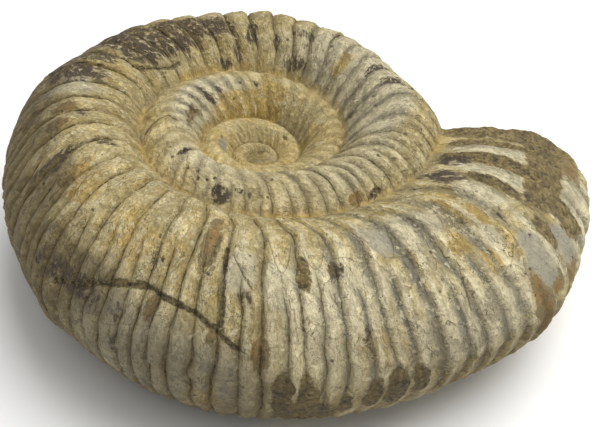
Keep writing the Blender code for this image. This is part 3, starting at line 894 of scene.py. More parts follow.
@dataclass
class AmmoniteShell:
    """The whole fossil: four turns of ribbed shell, filled with stone and broken at its end."""

    coil: CoilShape = field(default_factory=CoilShape)
    ribs: RibPattern = field(default_factory=RibPattern)
    weathering: Weathering = field(default_factory=Weathering)
    turns: int = 4
    columns: int = 1300
    upper_rows: int = 92
    venter_rows: int = 64
    lower_rows: int = 26
    triangle_limit: int = 197000
    margin_knots: Knots = (
        (-150.0, 0.0), (-90.0, 0.02), (-30.0, 0.07), (5.0, 0.115), (20.0, 0.11), (30.0, 0.09),
        (40.0, 0.06), (50.0, 0.035), (65.0, 0.03), (85.0, 0.035), (100.0, 0.05), (112.0, 0.04), (150.0, 0.0),
    )
    margin_reach: float = 0.45
    margin_tear: Unevenness = Unevenness(0.012, 0.06, 71, 4)
    tear_start: float = 0.015
    slope_step: float = 0.5
    seam_blend: float = 7.0
    # The seam band's strength row by row: partly soil colour, partly painted shade that deepens into the
    # crevice.
    seam_stain_and_shade: tuple[float, ...] = (1.0, 0.9, 0.8, 0.7, 0.6, 0.45, 0.3, 0.15)
    outer_stain_rows: int = 5
    end_bulge: float = 3.0 * MM
    end_rings: int = 40
    dome_bumps: tuple[Unevenness, ...] = (Unevenness(0.30, 0.006, 81, 4), Unevenness(0.12, 0.0015, 85, 3))
    dome_crest: float = 0.6
    apex_rise: float = 2.5 * MM
    apex_swell: float = 1.2 * MM
    apex_rings: int = 12
    apex_onset: float = 0.78
    plain_count: float = -0.2
    weld_reach: float = 0.0002 * MM
    gap_reach: float = 0.05 * MM

    def __post_init__(self) -> None:
        """Work out where the newest whorl starts on the older one."""
        zero = np.zeros(1)
        self.attach_upper = float(self.coil.attach_angle(zero, Side.UPPER)[0])
        self.attach_lower = float(self.coil.attach_angle(zero, Side.LOWER)[0])

    def ages(self, turn: int) -> Field:
        """Return the ages of a turn's columns, as a column vector."""
        return np.linspace(turn * TURN, (turn + 1) * TURN, self.columns)[:, None]

    @staticmethod
    def spread(first: Field, last: Field, steps: int) -> Field:
        """Return rows of evenly spaced values from first to last, with both ends."""
        share = np.linspace(0.0, 1.0, steps + 1)[None, :]
        return first + (last - first) * share

    def outer_angles(self, ages: Field) -> Field:
        """Return the section angles of the newest turn, from the upper seam to the lower one."""
        whole = np.ones_like(ages)
        top, bottom = whole * self.attach_upper, whole * self.attach_lower
        upper = self.spread(self.coil.seam_angle(ages, Side.UPPER), top, self.upper_rows)
        venter = self.spread(top, bottom, self.venter_rows)
        lower = self.spread(bottom, self.coil.seam_angle(ages, Side.LOWER), self.lower_rows)
        return np.hstack([upper, venter[:, 1:], lower[:, 1:]])

    def inner_angles(self, ages: Field, side: Side) -> Field:
        """Return the section angles of one side of an older turn, from its seam outwards."""
        rows = self.upper_rows if side is Side.UPPER else self.lower_rows
        start = self.coil.seam_angle(ages, side)
        return self.spread(start, self.coil.attach_angle(ages - TURN, side), rows)

    def shaped(self, name: str, ages: Field, angles: Field) -> GridPart:
        """Return the finished grid over the given ages and section angles.

        Args:
            name: The grid's name.
            ages: The columns' ages.
            angles: The section angles, in degrees.

        Returns:
            The grid.
        """
        margin = SmoothCurve(self.margin_knots)(angles)
        ragged = self.margin_tear.at(angles[..., None] * np.array([0.01, 0.0, 0.0]))
        near_end = np.clip(1.0 - ages / self.margin_reach, 0.0, 1.0) ** 1.5
        ages = ages + (margin + ragged * (margin > self.tear_start)) * near_end
        radius, height = self.coil.section(ages, angles)
        points = self.coil.place(ages, radius, height)
        lift, count, masks = self.weathering.surface(self.coil, self.ribs, ages, angles, points)
        ahead = self.coil.section(ages, angles + self.slope_step)
        behind = self.coil.section(ages, angles - self.slope_step)
        out, up = ahead[1] - behind[1], behind[0] - ahead[0]
        size = np.hypot(out, up)
        points = self.coil.place(ages, radius + lift * out / size, height + lift * up / size)
        points[..., 2] = np.maximum(points[..., 2], 0.0)
        LOG.info("%s shaped, %d by %d", name, *angles.shape)
        return GridPart(name, points, count, angles, masks)

    def join_seam(self, grid: GridPart, seam: Field, row: int) -> None:
        """Move a grid's seam row on to the older turn, ease its neighbours after it, and lay the seam band on
        it, partly soil colour and partly painted shade.

        Args:
            grid: The newer grid, which is changed.
            seam: The points that the seam row has to meet.
            row: The index of the seam row, the first or the last.
        """
        move = seam - grid.points[:, row]
        away = np.abs(grid.angle - grid.angle[:, row][:, None]) / self.seam_blend
        weight = np.exp(-away)[..., None]
        weight[:, -1 - row if row == 0 else 0] = 0.0
        grid.points += move[:, None, :] * weight
        for step, share in enumerate(self.seam_stain_and_shade):
            index = step if row == 0 else -1 - step
            grid.masks[Tint.SEAM][:, index] = share

    def grids(self) -> list[GridPart]:
        """Return the grids of all turns and of the two ends.

        Returns:
            Grids whose edges meet point for point.
        """
        ages = self.ages(0)
        newest = self.shaped("newest_turn", ages, self.outer_angles(ages))
        sides: dict[Side, list[GridPart]] = {}
        for side in Side:
            sides[side] = []
            for turn in range(1, self.turns):
                ages = self.ages(turn)
                name = f"{side.name.lower()}_turn_{turn}"
                sides[side].append(self.shaped(name, ages, self.inner_angles(ages, side)))
            for newer, older in zip(sides[side], sides[side][1:]):
                self.join_seam(newer, older.points[:, -1], 0)
            outer_row = 0 if side is Side.UPPER else -1
            self.join_seam(newest, sides[side][0].points[:, -1], outer_row)
            self.stain_and_shade_outer_rows(sides[side])
        self.match_columns(newest, sides[Side.UPPER], sides[Side.LOWER])
        parts = [newest, *sides[Side.UPPER], *sides[Side.LOWER], self.broken_end(newest.points)]
        for side in Side:
            parts.append(self.first_chamber(f"{side.name.lower()}_chamber", sides[side][-1], side))
        return parts

    def stain_and_shade_outer_rows(self, grids: list[GridPart]) -> None:
        """Lay the seam band, partly soil colour and partly painted shade, on the rows of the older turns that
        lie against a newer turn.
        """
        for grid in grids:
            for step, share in enumerate(self.seam_stain_and_shade[: self.outer_stain_rows]):
                grid.masks[Tint.SEAM][:, -1 - step] = share

    def match_columns(self, newest: GridPart, upper: list[GridPart], lower: list[GridPart]) -> None:
        """Make the last column of each turn the same as the first of the next older one.

        Args:
            newest: The newest turn, which is changed.
            upper: The older turns' upper grids.
            lower: The older turns' lower grids.
        """
        newest.points[-1, : self.upper_rows + 1] = upper[0].points[0]
        newest.points[-1, -1 - self.lower_rows :] = lower[0].points[0][::-1]
        for kept in (upper, lower):
            for newer, older in zip(kept, kept[1:]):
                newer.points[-1] = older.points[0]
        upper[0].points[0, -1] = newest.points[0, 0]
        lower[0].points[0, -1] = newest.points[0, -1]
        newest.points[-1, self.upper_rows] = newest.points[0, 0]
        newest.points[-1, -1 - self.lower_rows] = newest.points[0, -1]

    def polar(
        self, name: str, loop: Field, centre: Field, swell: Field, rings: int, tint: Tint, onset: float = 0.0
    ) -> GridPart:
        """Return a grid that closes a loop of points, as a shallow dome.

        Args:
            name: The grid's name.
            loop: The points round the hole.
            centre: The point that the dome closes on, before it swells.
            swell: How far and which way the dome's middle stands out.
            rings: How many rings of faces it has.
            tint: The mark that covers it.
            onset: How far in from the loop the mark starts, as a share.

        Returns:
            The grid, with its rings as rows.
        """
        loop = np.vstack([loop, loop[:1]])
        share = np.linspace(0.0, 1.0, rings + 1)
        flat = loop[:, None, :] + (centre - loop)[:, None, :] * share[None, :, None]
        bulge = np.sqrt(np.clip(1.0 - (1.0 - share) ** 2, 0.0, 1.0))
        rough = sum(bumps.at(flat) for bumps in self.dome_bumps)
        size = bulge[None, :] * (1.0 + rough * (share > 0.0)[None, :] * (share < 1.0)[None, :])
        masks = {mark: np.zeros(flat.shape[:2]) for mark in Tint}
        masks[tint] = np.broadcast_to(np.clip((share - onset) * 14.0, 0.0, 1.0), flat.shape[:2]).copy()
        masks[Tint.LINE] += 1.0
        masks[Tint.CREST] += self.dome_crest
        points = flat + swell * size[..., None]
        count = np.full(flat.shape[:2], self.plain_count)
        return GridPart(name, points, count, np.broadcast_to(100.0 * share, count.shape), masks)

    def broken_end(self, points: Field) -> GridPart:
        """Return the stone that fills the broken end."""
        arc = points[-1, self.upper_rows + 1 : self.upper_rows + self.venter_rows]
        loop = np.vstack([points[0], arc[::-1]])
        direction = self.coil.end_direction
        forward = np.array([-math.sin(direction), math.cos(direction), 0.0])
        centre = loop.mean(axis=0)
        return self.polar("broken_end", loop, centre, forward * self.end_bulge, self.end_rings, Tint.MATRIX)

    def first_chamber(self, name: str, grid: GridPart, side: Side) -> GridPart:
        """Return the knob at the heart of the coil, on one side."""
        loop = np.vstack([grid.points[:, 0], grid.points[-1, 1:-1]])
        heart = np.array([*self.coil.axis, self.coil.middle_height + side.value * self.apex_rise])
        swell = np.array([0.0, 0.0, side.value * self.apex_swell])
        return self.polar(name, loop, heart, swell, self.apex_rings, Tint.RUST, self.apex_onset)

    def close_gaps(self) -> None:
        """Merge what is still open at the inner ends of the seams, and fill what is left."""
        bpy.ops.object.mode_set(mode="EDIT")
        bpy.ops.mesh.select_mode(type="VERT")
        bpy.ops.mesh.select_all(action="DESELECT")
        bpy.ops.mesh.select_non_manifold(
            extend=False, use_wire=False, use_boundary=True, use_multi_face=False, use_non_contiguous=False,
            use_verts=False,
        )
        bpy.ops.mesh.remove_doubles(threshold=self.gap_reach)
        bpy.ops.mesh.fill_holes(sides=0)
        bpy.ops.object.mode_set(mode="OBJECT")

    def build(self) -> bpy.types.Object:
        """Build the fossil as one closed mesh.

        Returns:
            The finished object, at the origin.
        """
        parts = [part.build() for part in self.grids()]
        LOG.info("grids added")
        bpy.ops.object.select_all(action="DESELECT")
        for part in parts:
            part.select_set(True)
        bpy.context.view_layer.objects.active = parts[0]
        bpy.ops.object.join()
        shell = bpy.context.object
        shell.name = "ammonite_shell"
        shell.data.name = "ammonite_shell"
        weld = shell.modifiers.new("seams", "WELD")
        weld.merge_threshold = self.weld_reach
        bpy.ops.object.modifier_apply(modifier=weld.name)
        self.close_gaps()
        LOG.info("welded to %d faces", len(shell.data.polygons))
        thin = shell.modifiers.new("thin", "DECIMATE")
        thin.ratio = self.triangle_limit / sum(len(face.vertices) - 2 for face in shell.data.polygons)
        thin.use_collapse_triangulate = True
        bpy.ops.object.modifier_apply(modifier=thin.name)
        LOG.info("thinned to %d triangles", len(shell.data.polygons))
        places = np.empty(len(shell.data.vertices) * 3, dtype=np.float32)
        shell.data.vertices.foreach_get("co", places)
        places[2::3] = np.maximum(places[2::3], 0.0)
        shell.data.vertices.foreach_set("co", places)
        bpy.ops.object.mode_set(mode="EDIT")
        bpy.ops.mesh.select_all(action="SELECT")
        bpy.ops.mesh.normals_make_consistent(inside=False)
        bpy.ops.object.mode_set(mode="OBJECT")
        bpy.ops.object.shade_smooth()
        return shell


class Ramp(NamedTuple):
    """A smooth change of one number as another goes from low to high."""

    low: float
    high: float
    out_low: float = 0.0
    out_high: float = 1.0


class Grains(NamedTuple):
    """Noise with grains of one size in metres, some finer layers, and a shift that tells it from others."""

    size: float
    detail: float
    roughness: float
    shift: float


class Streaks(NamedTuple):
    """Noise drawn out along the ribs: how many streaks there are to a rib, and along it to ten degrees."""

    across: float
    along: float
    detail: float
    roughness: float
    shift: float


class NodeSheet:
    """A short way to lay out shader nodes."""

    def __init__(self, name: str) -> None:
        """Make a material with a Principled BSDF.

        Args:
            name: The material's name.
        """
        self.material = bpy.data.materials.new(name)
        self.material.use_nodes = True
        self.tree = self.material.node_tree
        self.shader = self.tree.nodes["Principled BSDF"]
        self.position = self.tree.nodes.new("ShaderNodeTexCoord").outputs["Object"]

    def feed(self, socket: Socket, value: object) -> None:
        """Link an output to a socket, or set the socket's value."""
        if isinstance(value, bpy.types.NodeSocket):
            self.tree.links.new(value, socket)
        else:
            socket.default_value = value

    def attribute(self, tint: Tint) -> Socket:
        """Return the value of a mesh attribute."""
        node = self.tree.nodes.new("ShaderNodeAttribute")
        node.attribute_name = tint.value
        return node.outputs["Fac"]

    def coil(self) -> Socket:
        """Return the place on the coil: the count of ribs, and the section angle in tens of degrees."""
        node = self.tree.nodes.new("ShaderNodeUVMap")
        node.uv_map = COIL_SHEET
        return node.outputs["UV"]

    def rib_count(self) -> Socket:
        """Return the running count of ribs."""
        split = self.tree.nodes.new("ShaderNodeSeparateXYZ")
        self.feed(split.inputs["Vector"], self.coil())
        return split.outputs["X"]

    def placed(self, place: Socket, scale: Place, shift: float) -> Socket:
        """Return a place that is scaled along each axis and shifted."""
        node = self.tree.nodes.new("ShaderNodeMapping")
        self.feed(node.inputs["Vector"], place)
        node.inputs["Location"].default_value = (shift, 0.7 * shift, 0.3 * shift)
        node.inputs["Scale"].default_value = scale
        return node.outputs["Vector"]

    def noise(self, place: Socket, scale: Place, detail: float, roughness: float, shift: float) -> Socket:
        """Return noise from 0 to 1, mostly near the middle.

        Args:
            place: The coordinates that it follows.
            scale: How many grains there are to a unit of each coordinate.
            detail: How many finer layers it has.
            roughness: How strong the finer layers are.
            shift: Moves the pattern, so that two noises differ.

        Returns:
            The noise's output.
        """
        node = self.tree.nodes.new("ShaderNodeTexNoise")
        self.feed(node.inputs["Vector"], self.placed(place, scale, shift))
        node.inputs["Scale"].default_value = 1.0
        node.inputs["Detail"].default_value = detail
        node.inputs["Roughness"].default_value = roughness
        return node.outputs["Fac"]

    def grains(self, grains: Grains) -> Socket:
        """Return noise whose grains have the same size in all directions."""
        return self.noise(self.position, (1.0 / grains.size,) * 3, *grains[1:])

    def streaks(self, streaks: Streaks) -> Socket:
        """Return noise that is drawn out along the ribs."""
        return self.noise(self.coil(), (streaks.across, streaks.along, 1.0), *streaks[2:])

    def flatter(self, noise: Socket, place: Socket, most: float) -> Socket:
        """Return a noise that is drawn towards its middle where place goes to 1."""
        share = self.math("SUBTRACT", 1.0, self.math("MULTIPLY", place, most))
        return self.math("ADD", self.math("MULTIPLY", self.math("SUBTRACT", noise, 0.5), share), 0.5)

    def cells(self, size: float, feature: str, shift: float, place: Socket | None = None) -> bpy.types.Node:
        """Return a Voronoi node with cells of a size in metres."""
        node = self.tree.nodes.new("ShaderNodeTexVoronoi")
        node.feature = feature
        start = self.position if place is None else place
        self.feed(node.inputs["Vector"], self.placed(start, (1.0 / size,) * 3, shift))
        node.inputs["Scale"].default_value = 1.0
        return node

    def math(self, operation: str, first: object, second: object = 0.0) -> Socket:
        """Return the result of a sum on two numbers."""
        node = self.tree.nodes.new("ShaderNodeMath")
        node.operation = operation
        self.feed(node.inputs[0], first)
        self.feed(node.inputs[1], second)
        return node.outputs["Value"]

    def product(self, first: object, *others: object) -> Socket:
        """Return some numbers multiplied together."""
        for other in others:
            first = self.math("MULTIPLY", first, other)
        return first

    def total(self, *terms: Term) -> Socket:
        """Return a sum in which each term has its own weight."""
        result: object = 0.0
        for value, weight in terms:
            node = self.tree.nodes.new("ShaderNodeMath")
            node.operation = "MULTIPLY_ADD"
            self.feed(node.inputs[0], value)
            node.inputs[1].default_value = weight
            self.feed(node.inputs[2], result)
            result = node.outputs["Value"]
        return result

    def ramp(self, value: object, ramp: Ramp) -> Socket:
        """Return a smooth rise or fall as the value goes from the ramp's low to its high."""
        node = self.tree.nodes.new("ShaderNodeMapRange")
        node.interpolation_type = "SMOOTHSTEP"
        self.feed(node.inputs["Value"], value)
        for name, number in zip(("From Min", "From Max", "To Min", "To Max"), ramp):
            node.inputs[name].default_value = number
        return node.outputs["Result"]

    def edge_line(self, noise: Socket, level: float, ramp: Ramp) -> Socket:
        """Return a thin line where a noise passes a level."""
        return self.ramp(self.math("ABSOLUTE", self.math("SUBTRACT", noise, level)), ramp)

    def mix(self, share: object, first: object, second: object) -> Socket:
        """Return a colour between two colours."""
        node = self.tree.nodes.new("ShaderNodeMix")
        node.data_type = "RGBA"
        self.feed(node.inputs[0], share)
        self.feed(node.inputs[6], first)
        self.feed(node.inputs[7], second)
        return node.outputs[2]

    def shade(self, colour: Socket, *factors: Socket) -> Socket:
        """Return a colour made lighter or darker by each factor."""
        for factor in factors:
            node = self.tree.nodes.new("ShaderNodeVectorMath")
            node.operation = "SCALE"
            self.feed(node.inputs[0], colour)
            self.feed(node.inputs["Scale"], factor)
            colour = node.outputs["Vector"]
        return colour

    def wandering(self, tint: Tint, edge: Span, *noises: Term) -> Socket:
        """Return a mark's mask whose edge wanders with some noises."""
        middle = 0.5 * sum(weight for _, weight in noises)
        marked = self.total((self.attribute(tint), 1.0), *noises)
        return self.ramp(marked, Ramp(edge[0] + middle, edge[1] + middle))


class StoneSheet(NodeSheet):
    """The sheet of the fossil's finish: the colour so far, and the noises that its layers share."""

    def __init__(self) -> None:
        """Lay out the shared noises."""
        super().__init__("fossil_stone")
        self.colour: object = (0.0, 0.0, 0.0, 1.0)
        self.broad = self.grains(Grains(0.028, 3.0, 0.5, 0.0))
        self.cloud = self.grains(Grains(0.009, 5.0, 0.62, 0.11))
        self.blotch = self.grains(Grains(0.0034, 5.0, 0.68, 0.23))
        self.grain = self.grains(Grains(0.0009, 3.0, 0.6, 0.37))
        self.gaps = self.grains(Grains(0.007, 3.0, 0.6, 0.61))
        self.old = self.ramp(self.rib_count(), Ramp(40.0, 52.0))
        # Mask of the innermost turns, used only for painted light.
        self.innermost_painted_light = self.ramp(self.rib_count(), Ramp(60.0, 100.0))
        self.new = self.math("SUBTRACT", 1.0, self.math("MULTIPLY", self.old, 0.8))
        self.streak = self.flatter(self.streaks(Streaks(8.0, 0.9, 4.0, 0.6, 3.1)), self.old, 0.75)
        self.fibre = self.flatter(self.streaks(Streaks(26.0, 2.4, 3.0, 0.6, 7.7)), self.old, 0.85)
        self.layer = self.streaks(Streaks(1.7, 0.50, 5.0, 0.58, 11.3))
        self.scales = self.streaks(Streaks(4.5, 1.40, 3.0, 0.55, 17.9))
        self.flecks = self.streaks(Streaks(5.0, 1.5, 5.0, 0.64, 23.0))
        self.splits = self.streaks(Streaks(3.6, 0.42, 4.0, 0.62, 31.0))
        self.crest = self.attribute(Tint.CREST)
        self.relief: list[Term] = [
            (self.blotch, 0.75), (self.streak, 0.75), (self.fibre, 0.25), (self.grain, 0.28),
            (self.ramp(self.layer, Ramp(0.515, 0.525)), 0.40),
            (self.ramp(self.scales, Ramp(0.550, 0.565)), 0.20),
            (self.ramp(self.flecks, Ramp(0.370, 0.630)), 0.30),
        ]

    def lay(self, colour: object, *shares: object) -> None:
        """Lay a colour over what is there, where all the shares multiplied together say so."""
        self.colour = self.mix(self.product(*shares), self.colour, colour)

    def tone(self, *factors: Socket) -> None:
        """Make what is there lighter or darker by each factor."""
        self.colour = self.shade(self.colour, *factors)


@dataclass(frozen=True)
class FossilStone:
    """The finish of the fossil: limy stone and shell, with brown stone in the grooves.

    Each layer is a method that lays its colour on the sheet. Shares say how much of a layer's own
    colour covers what is under it.
    """

    cream: Colour = (0.580, 0.475, 0.235, 1.0)
    straw: Colour = (0.440, 0.330, 0.125, 1.0)
    chalk: Colour = (0.700, 0.620, 0.400, 1.0)
    ash: Colour = (0.390, 0.345, 0.220, 1.0)
    lead: Colour = (0.330, 0.308, 0.235, 1.0)
    soil: Colour = (0.050, 0.039, 0.020, 1.0)
    brown: Colour = (0.176, 0.131, 0.056, 1.0)
    sand: Colour = (0.290, 0.226, 0.104, 1.0)
    rust: Colour = (0.250, 0.150, 0.050, 1.0)
    ochre: Colour = (0.530, 0.365, 0.105, 1.0)
    film: Colour = (0.062, 0.046, 0.036, 1.0)
    ochre_share: float = 0.75
    valley_share: float = 0.85
    valley_edge_share: float = 0.8
    split_share: float = 0.55
    rust_share: float = 0.85
    seam_share: float = 0.50
    facet_share: float = 0.85
    bare_share: float = 0.65
    grime_and_shade_share: float = 0.45
    rim_share: float = 0.30
    pit_share: float = 0.7
    hair_share: float = 0.28
    sand_grain: float = 0.8 * MM
    pit_spacing: float = 4.2 * MM
    hair_spacing: float = 19.0 * MM
    layer_level: float = 0.52
    scale_level: float = 0.56
    specular: float = 0.30
    bump_depth: float = 1.0 * MM
    bump_strength: float = 0.8

    def shell(self, sheet: StoneSheet) -> None:
        """Lay limy shell, from cream to straw, whiter and ochre where the marks say so."""
        cloud, streak = sheet.cloud, sheet.streak
        plain = sheet.ramp(sheet.total((cloud, 0.7), (streak, 0.3)), Ramp(0.40, 0.60))
        sheet.colour = sheet.mix(plain, self.cream, self.straw)
        # The pale mark is whiter shell, and painted light over the back wall and the older turns in the
        # hollow.
        pale = (sheet.attribute(Tint.PALE), 0.9)
        white = sheet.total(pale, (sheet.broad, 0.9), (cloud, 0.5), (streak, 0.5))
        tone = sheet.total((streak, 0.6), (cloud, 0.4), (sheet.crest, -0.13))
        whitish = sheet.mix(sheet.ramp(tone, Ramp(0.32, 0.56)), self.chalk, self.ash)
        sheet.lay(whitish, sheet.ramp(white, Ramp(1.05, 1.5)))
        ochre = sheet.wandering(Tint.OCHRE, (0.25, 0.85), (cloud, 1.2), (streak, 0.6))
        sheet.lay(self.ochre, ochre, self.ochre_share)

    def valleys(self, sheet: StoneSheet) -> None:
        """Lay smooth grey valleys between narrow pale crests."""
        valley, crest = sheet.attribute(Tint.VALLEY), sheet.crest
        deep = sheet.ramp(sheet.total((crest, 1.0), (sheet.cloud, 0.5)), Ramp(0.45, 0.95, 1.0, 0.0))
        grey = sheet.mix(sheet.ramp(sheet.cloud, Ramp(0.4, 0.6)), self.lead, self.ash)
        sheet.lay(grey, valley, deep, self.valley_share)
        edge = sheet.ramp(sheet.total((crest, 1.0), (sheet.blotch, 0.3)), Ramp(1.04, 1.13))
        sheet.lay(self.chalk, valley, edge, self.valley_edge_share)

    def mottles(self, sheet: StoneSheet) -> None:
        """Lay mottles and streaks; painted shade in the rib valleys; whiter crests, partly worn shell and
        partly painted highlight; and painted light on the older turns in the hollow.
        """
        blotch, grain, crest = sheet.blotch, sheet.grain, sheet.crest
        shades = (
            (sheet.broad, Ramp(0.35, 0.65, 0.90, 1.08)),
            (sheet.cloud, Ramp(0.36, 0.64, 0.86, 1.10)),
            (sheet.streak, Ramp(0.32, 0.68, 0.84, 1.10)),
            (blotch, Ramp(0.36, 0.62, 0.80, 1.10)),
            (sheet.fibre, Ramp(0.32, 0.68, 0.90, 1.07)),
            (grain, Ramp(0.32, 0.68, 0.89, 1.08)),
            # Painted light: the older turns, which lie in the hollow of the coil, are made lighter, the
            # innermost most of all.
            (sheet.old, Ramp(0.0, 1.0, 1.0, 1.16)),
            (sheet.innermost_painted_light, Ramp(0.0, 1.0, 1.0, 1.50)),
        )
        # Painted shade: the rib valleys are darkened and the crests a little lightened, less so on the older
        # turns.
        painted_rib_shade = sheet.ramp(crest, Ramp(0.0, 0.9, 0.76, 1.06))
        painted_rib_shade = sheet.math("MAXIMUM", painted_rib_shade, sheet.product(sheet.old, 0.90))
        sheet.tone(*(sheet.ramp(*shade) for shade in shades), painted_rib_shade)
        chipped = sheet.total((blotch, 0.6), (grain, 0.4), (crest, 0.05))
        sheet.lay(self.chalk, sheet.ramp(chipped, Ramp(0.575, 0.595, 0.0, 0.50)))
        # Whiter rib crests: partly worn shell, partly painted highlight.
        scuffed_and_highlit = sheet.total((crest, 0.5), (sheet.fibre, 0.5), (sheet.cloud, 0.5))
        sheet.lay(self.chalk, sheet.ramp(scuffed_and_highlit, Ramp(0.98, 1.08, 0.0, 0.6)))

    def layers(self, sheet: StoneSheet) -> None:
        """Lay thin layers of shell that end in a fine ragged edge."""
        ledge = sheet.edge_line(sheet.layer, self.layer_level, Ramp(0.003, 0.008, 1.0, 0.0))
        ledge = sheet.product(ledge, sheet.ramp(sheet.blotch, Ramp(0.42, 0.54)))
        scale = sheet.edge_line(sheet.scales, self.scale_level, Ramp(0.006, 0.018, 1.0, 0.0))
        scale = sheet.product(scale, sheet.ramp(sheet.cloud, Ramp(0.45, 0.55)), sheet.new)
        sheet.tone(
            sheet.ramp(sheet.layer, Ramp(0.517, 0.523, 0.90, 1.06)),
            sheet.ramp(sheet.scales, Ramp(0.550, 0.565, 0.97, 1.10)),
            sheet.ramp(ledge, Ramp(0.0, 1.0, 1.0, 0.50)),
            sheet.ramp(scale, Ramp(0.0, 1.0, 1.0, 0.72)),
        )

    def flecks(self, sheet: StoneSheet) -> None:
        """Lay crisp flecks and fine splits that follow the ribs."""
        light = sheet.ramp(sheet.flecks, Ramp(0.600, 0.618, 0.0, 0.55))
        sheet.lay(self.chalk, light, sheet.new)
        dark = sheet.ramp(sheet.flecks, Ramp(0.362, 0.380, 0.45, 0.0))
        sheet.lay(self.brown, dark, sheet.new)
        splits = sheet.edge_line(sheet.splits, 0.5, Ramp(0.0015, 0.0060, 1.0, 0.0))
        splits = sheet.product(splits, sheet.ramp(sheet.cloud, Ramp(0.48, 0.54)), sheet.new)
        sheet.relief.append((splits, -0.25))
        sheet.lay(self.soil, splits, self.split_share)

    def stains(self, sheet: StoneSheet) -> None:
        """Lay rust, specks and the seam band, partly soil colour and partly painted shade in the crevice."""
        blotch = sheet.blotch
        rust = sheet.mix(sheet.ramp(blotch, Ramp(0.42, 0.60)), self.rust, self.brown)
        rusty = sheet.wandering(Tint.RUST, (0.35, 0.60), (blotch, 1.4), (sheet.streak, 0.6))
        sheet.lay(rust, rusty, self.rust_share)
        specks = sheet.total((blotch, 0.35), (sheet.grain, 0.65))
        sheet.lay(self.brown, sheet.ramp(specks, Ramp(0.575, 0.610, 0.0, 0.35)))
        # The seam band: partly brown and ochre soil, partly painted shade in the crevice between the whorls.
        seam = sheet.wandering(Tint.SEAM, (0.20, 0.90), (blotch, 0.8))
        earth_and_shade = sheet.mix(sheet.ramp(sheet.cloud, Ramp(0.4, 0.6)), self.brown, self.ochre)
        sheet.lay(earth_and_shade, seam, self.seam_share)

    def bare_stone(self, sheet: StoneSheet) -> None:
        """Lay grey inner stone where the shell has gone."""
        facet = sheet.wandering(Tint.FACET, (0.30, 0.60), (sheet.blotch, 0.6), (sheet.cloud, 0.4))
        bare = sheet.product(sheet.attribute(Tint.FLAKE), self.bare_share)
        tone = sheet.total((sheet.crest, 0.25), (sheet.cloud, 1.0))
        inner = sheet.mix(sheet.ramp(tone, Ramp(0.72, 1.10)), self.lead, self.chalk)
        sheet.lay(inner, sheet.math("MAXIMUM", sheet.product(facet, self.facet_share), bare))

    def sandy_stone(self, sheet: StoneSheet) -> None:
        """Lay the brown sandy stone."""
        sandy = sheet.cells(self.sand_grain, "F1", 0.5)
        speckle = sheet.total((sandy.outputs["Color"], 0.45), (sheet.blotch, 0.9), (sheet.cloud, 0.3))
        stone = sheet.mix(sheet.ramp(speckle, Ramp(0.50, 0.85)), self.soil, self.brown)
        stone = sheet.mix(sheet.ramp(speckle, Ramp(0.80, 1.05)), stone, self.sand)
        covered = sheet.wandering(Tint.MATRIX, (0.34, 0.52), (sheet.blotch, 1.0), (sheet.streak, 0.4))
        sheet.relief.append((sheet.product(covered, sandy.outputs["Distance"]), -0.6))
        sheet.lay(stone, covered)

    def dirt_and_shade(self, sheet: StoneSheet, grime: Socket) -> None:
        """Lay brown soil on the flanks, darker as painted shade on the far-left and lower flanks, and a
        darker film that keeps off the crests.
        """
        blotch, grain = sheet.blotch, sheet.grain
        # The flank mask lays a dark brown and then darkens further: partly soil, partly painted shade on the
        # far-left and lower flanks.
        dirt_and_shade_colour = sheet.mix(sheet.ramp(blotch, Ramp(0.35, 0.65)), self.film, self.brown)
        sheet.lay(dirt_and_shade_colour, grime, self.grime_and_shade_share)
        sheet.tone(sheet.ramp(grime, Ramp(0.0, 1.0, 1.0, 0.66)))
        noises = ((blotch, 1.3), (sheet.streak, 1.8), (sheet.fibre, 0.9), (grain, 0.3), (sheet.crest, -0.4))
        film = sheet.wandering(Tint.DARK, (0.35, 0.75), *noises)
        kept = sheet.ramp(sheet.flecks, Ramp(0.54, 0.58, 0.93, 0.30))
        tone = sheet.ramp(sheet.total((sheet.cloud, 0.5), (grain, 0.5)), Ramp(0.47, 0.66))
        sheet.lay(sheet.mix(tone, self.film, self.brown), film, kept)

    def rib_line(self, sheet: StoneSheet, away: Socket, width: Socket, strength: Socket) -> Socket:
        """Return a thin line where away is nearly nought."""
        inside = sheet.ramp(sheet.math("DIVIDE", away, width), Ramp(0.5, 1.2, 1.0, 0.0))
        return sheet.product(sheet.ramp(strength, Ramp(0.0, 0.8)), inside)

    def grooves(self, sheet: StoneSheet) -> tuple[Socket, Socket]:
        """Return the masks of the thin lines between ribs and of the soft brown beside them, partly soil and
        partly painted shade.
        """
        patchy = sheet.total((sheet.cloud, 0.45), (sheet.blotch, 0.40), (sheet.grain, 0.15))
        count = sheet.total((sheet.rib_count(), 1.0), (sheet.cloud, 0.10), (0.05, -1.0))
        away = sheet.math("PINGPONG", count, 0.5)
        main, fork = sheet.attribute(Tint.GROOVE), sheet.attribute(Tint.FORK)
        width = sheet.product(sheet.ramp(patchy, Ramp(0.41, 0.62, 0.005, 0.054)), main)
        from_fork = sheet.math("SUBTRACT", 0.5, away)
        line = self.rib_line(sheet, away, width, main)
        fork_line = self.rib_line(sheet, from_fork, sheet.product(width, 0.8), fork)
        soft = sheet.product(main, sheet.ramp(away, Ramp(0.02, 0.20, 1.0, 0.0)))
        soft_fork = sheet.product(fork, sheet.ramp(from_fork, Ramp(0.02, 0.14, 0.8, 0.0)))
        return sheet.math("MAXIMUM", line, fork_line), sheet.math("MAXIMUM", soft, soft_fork)

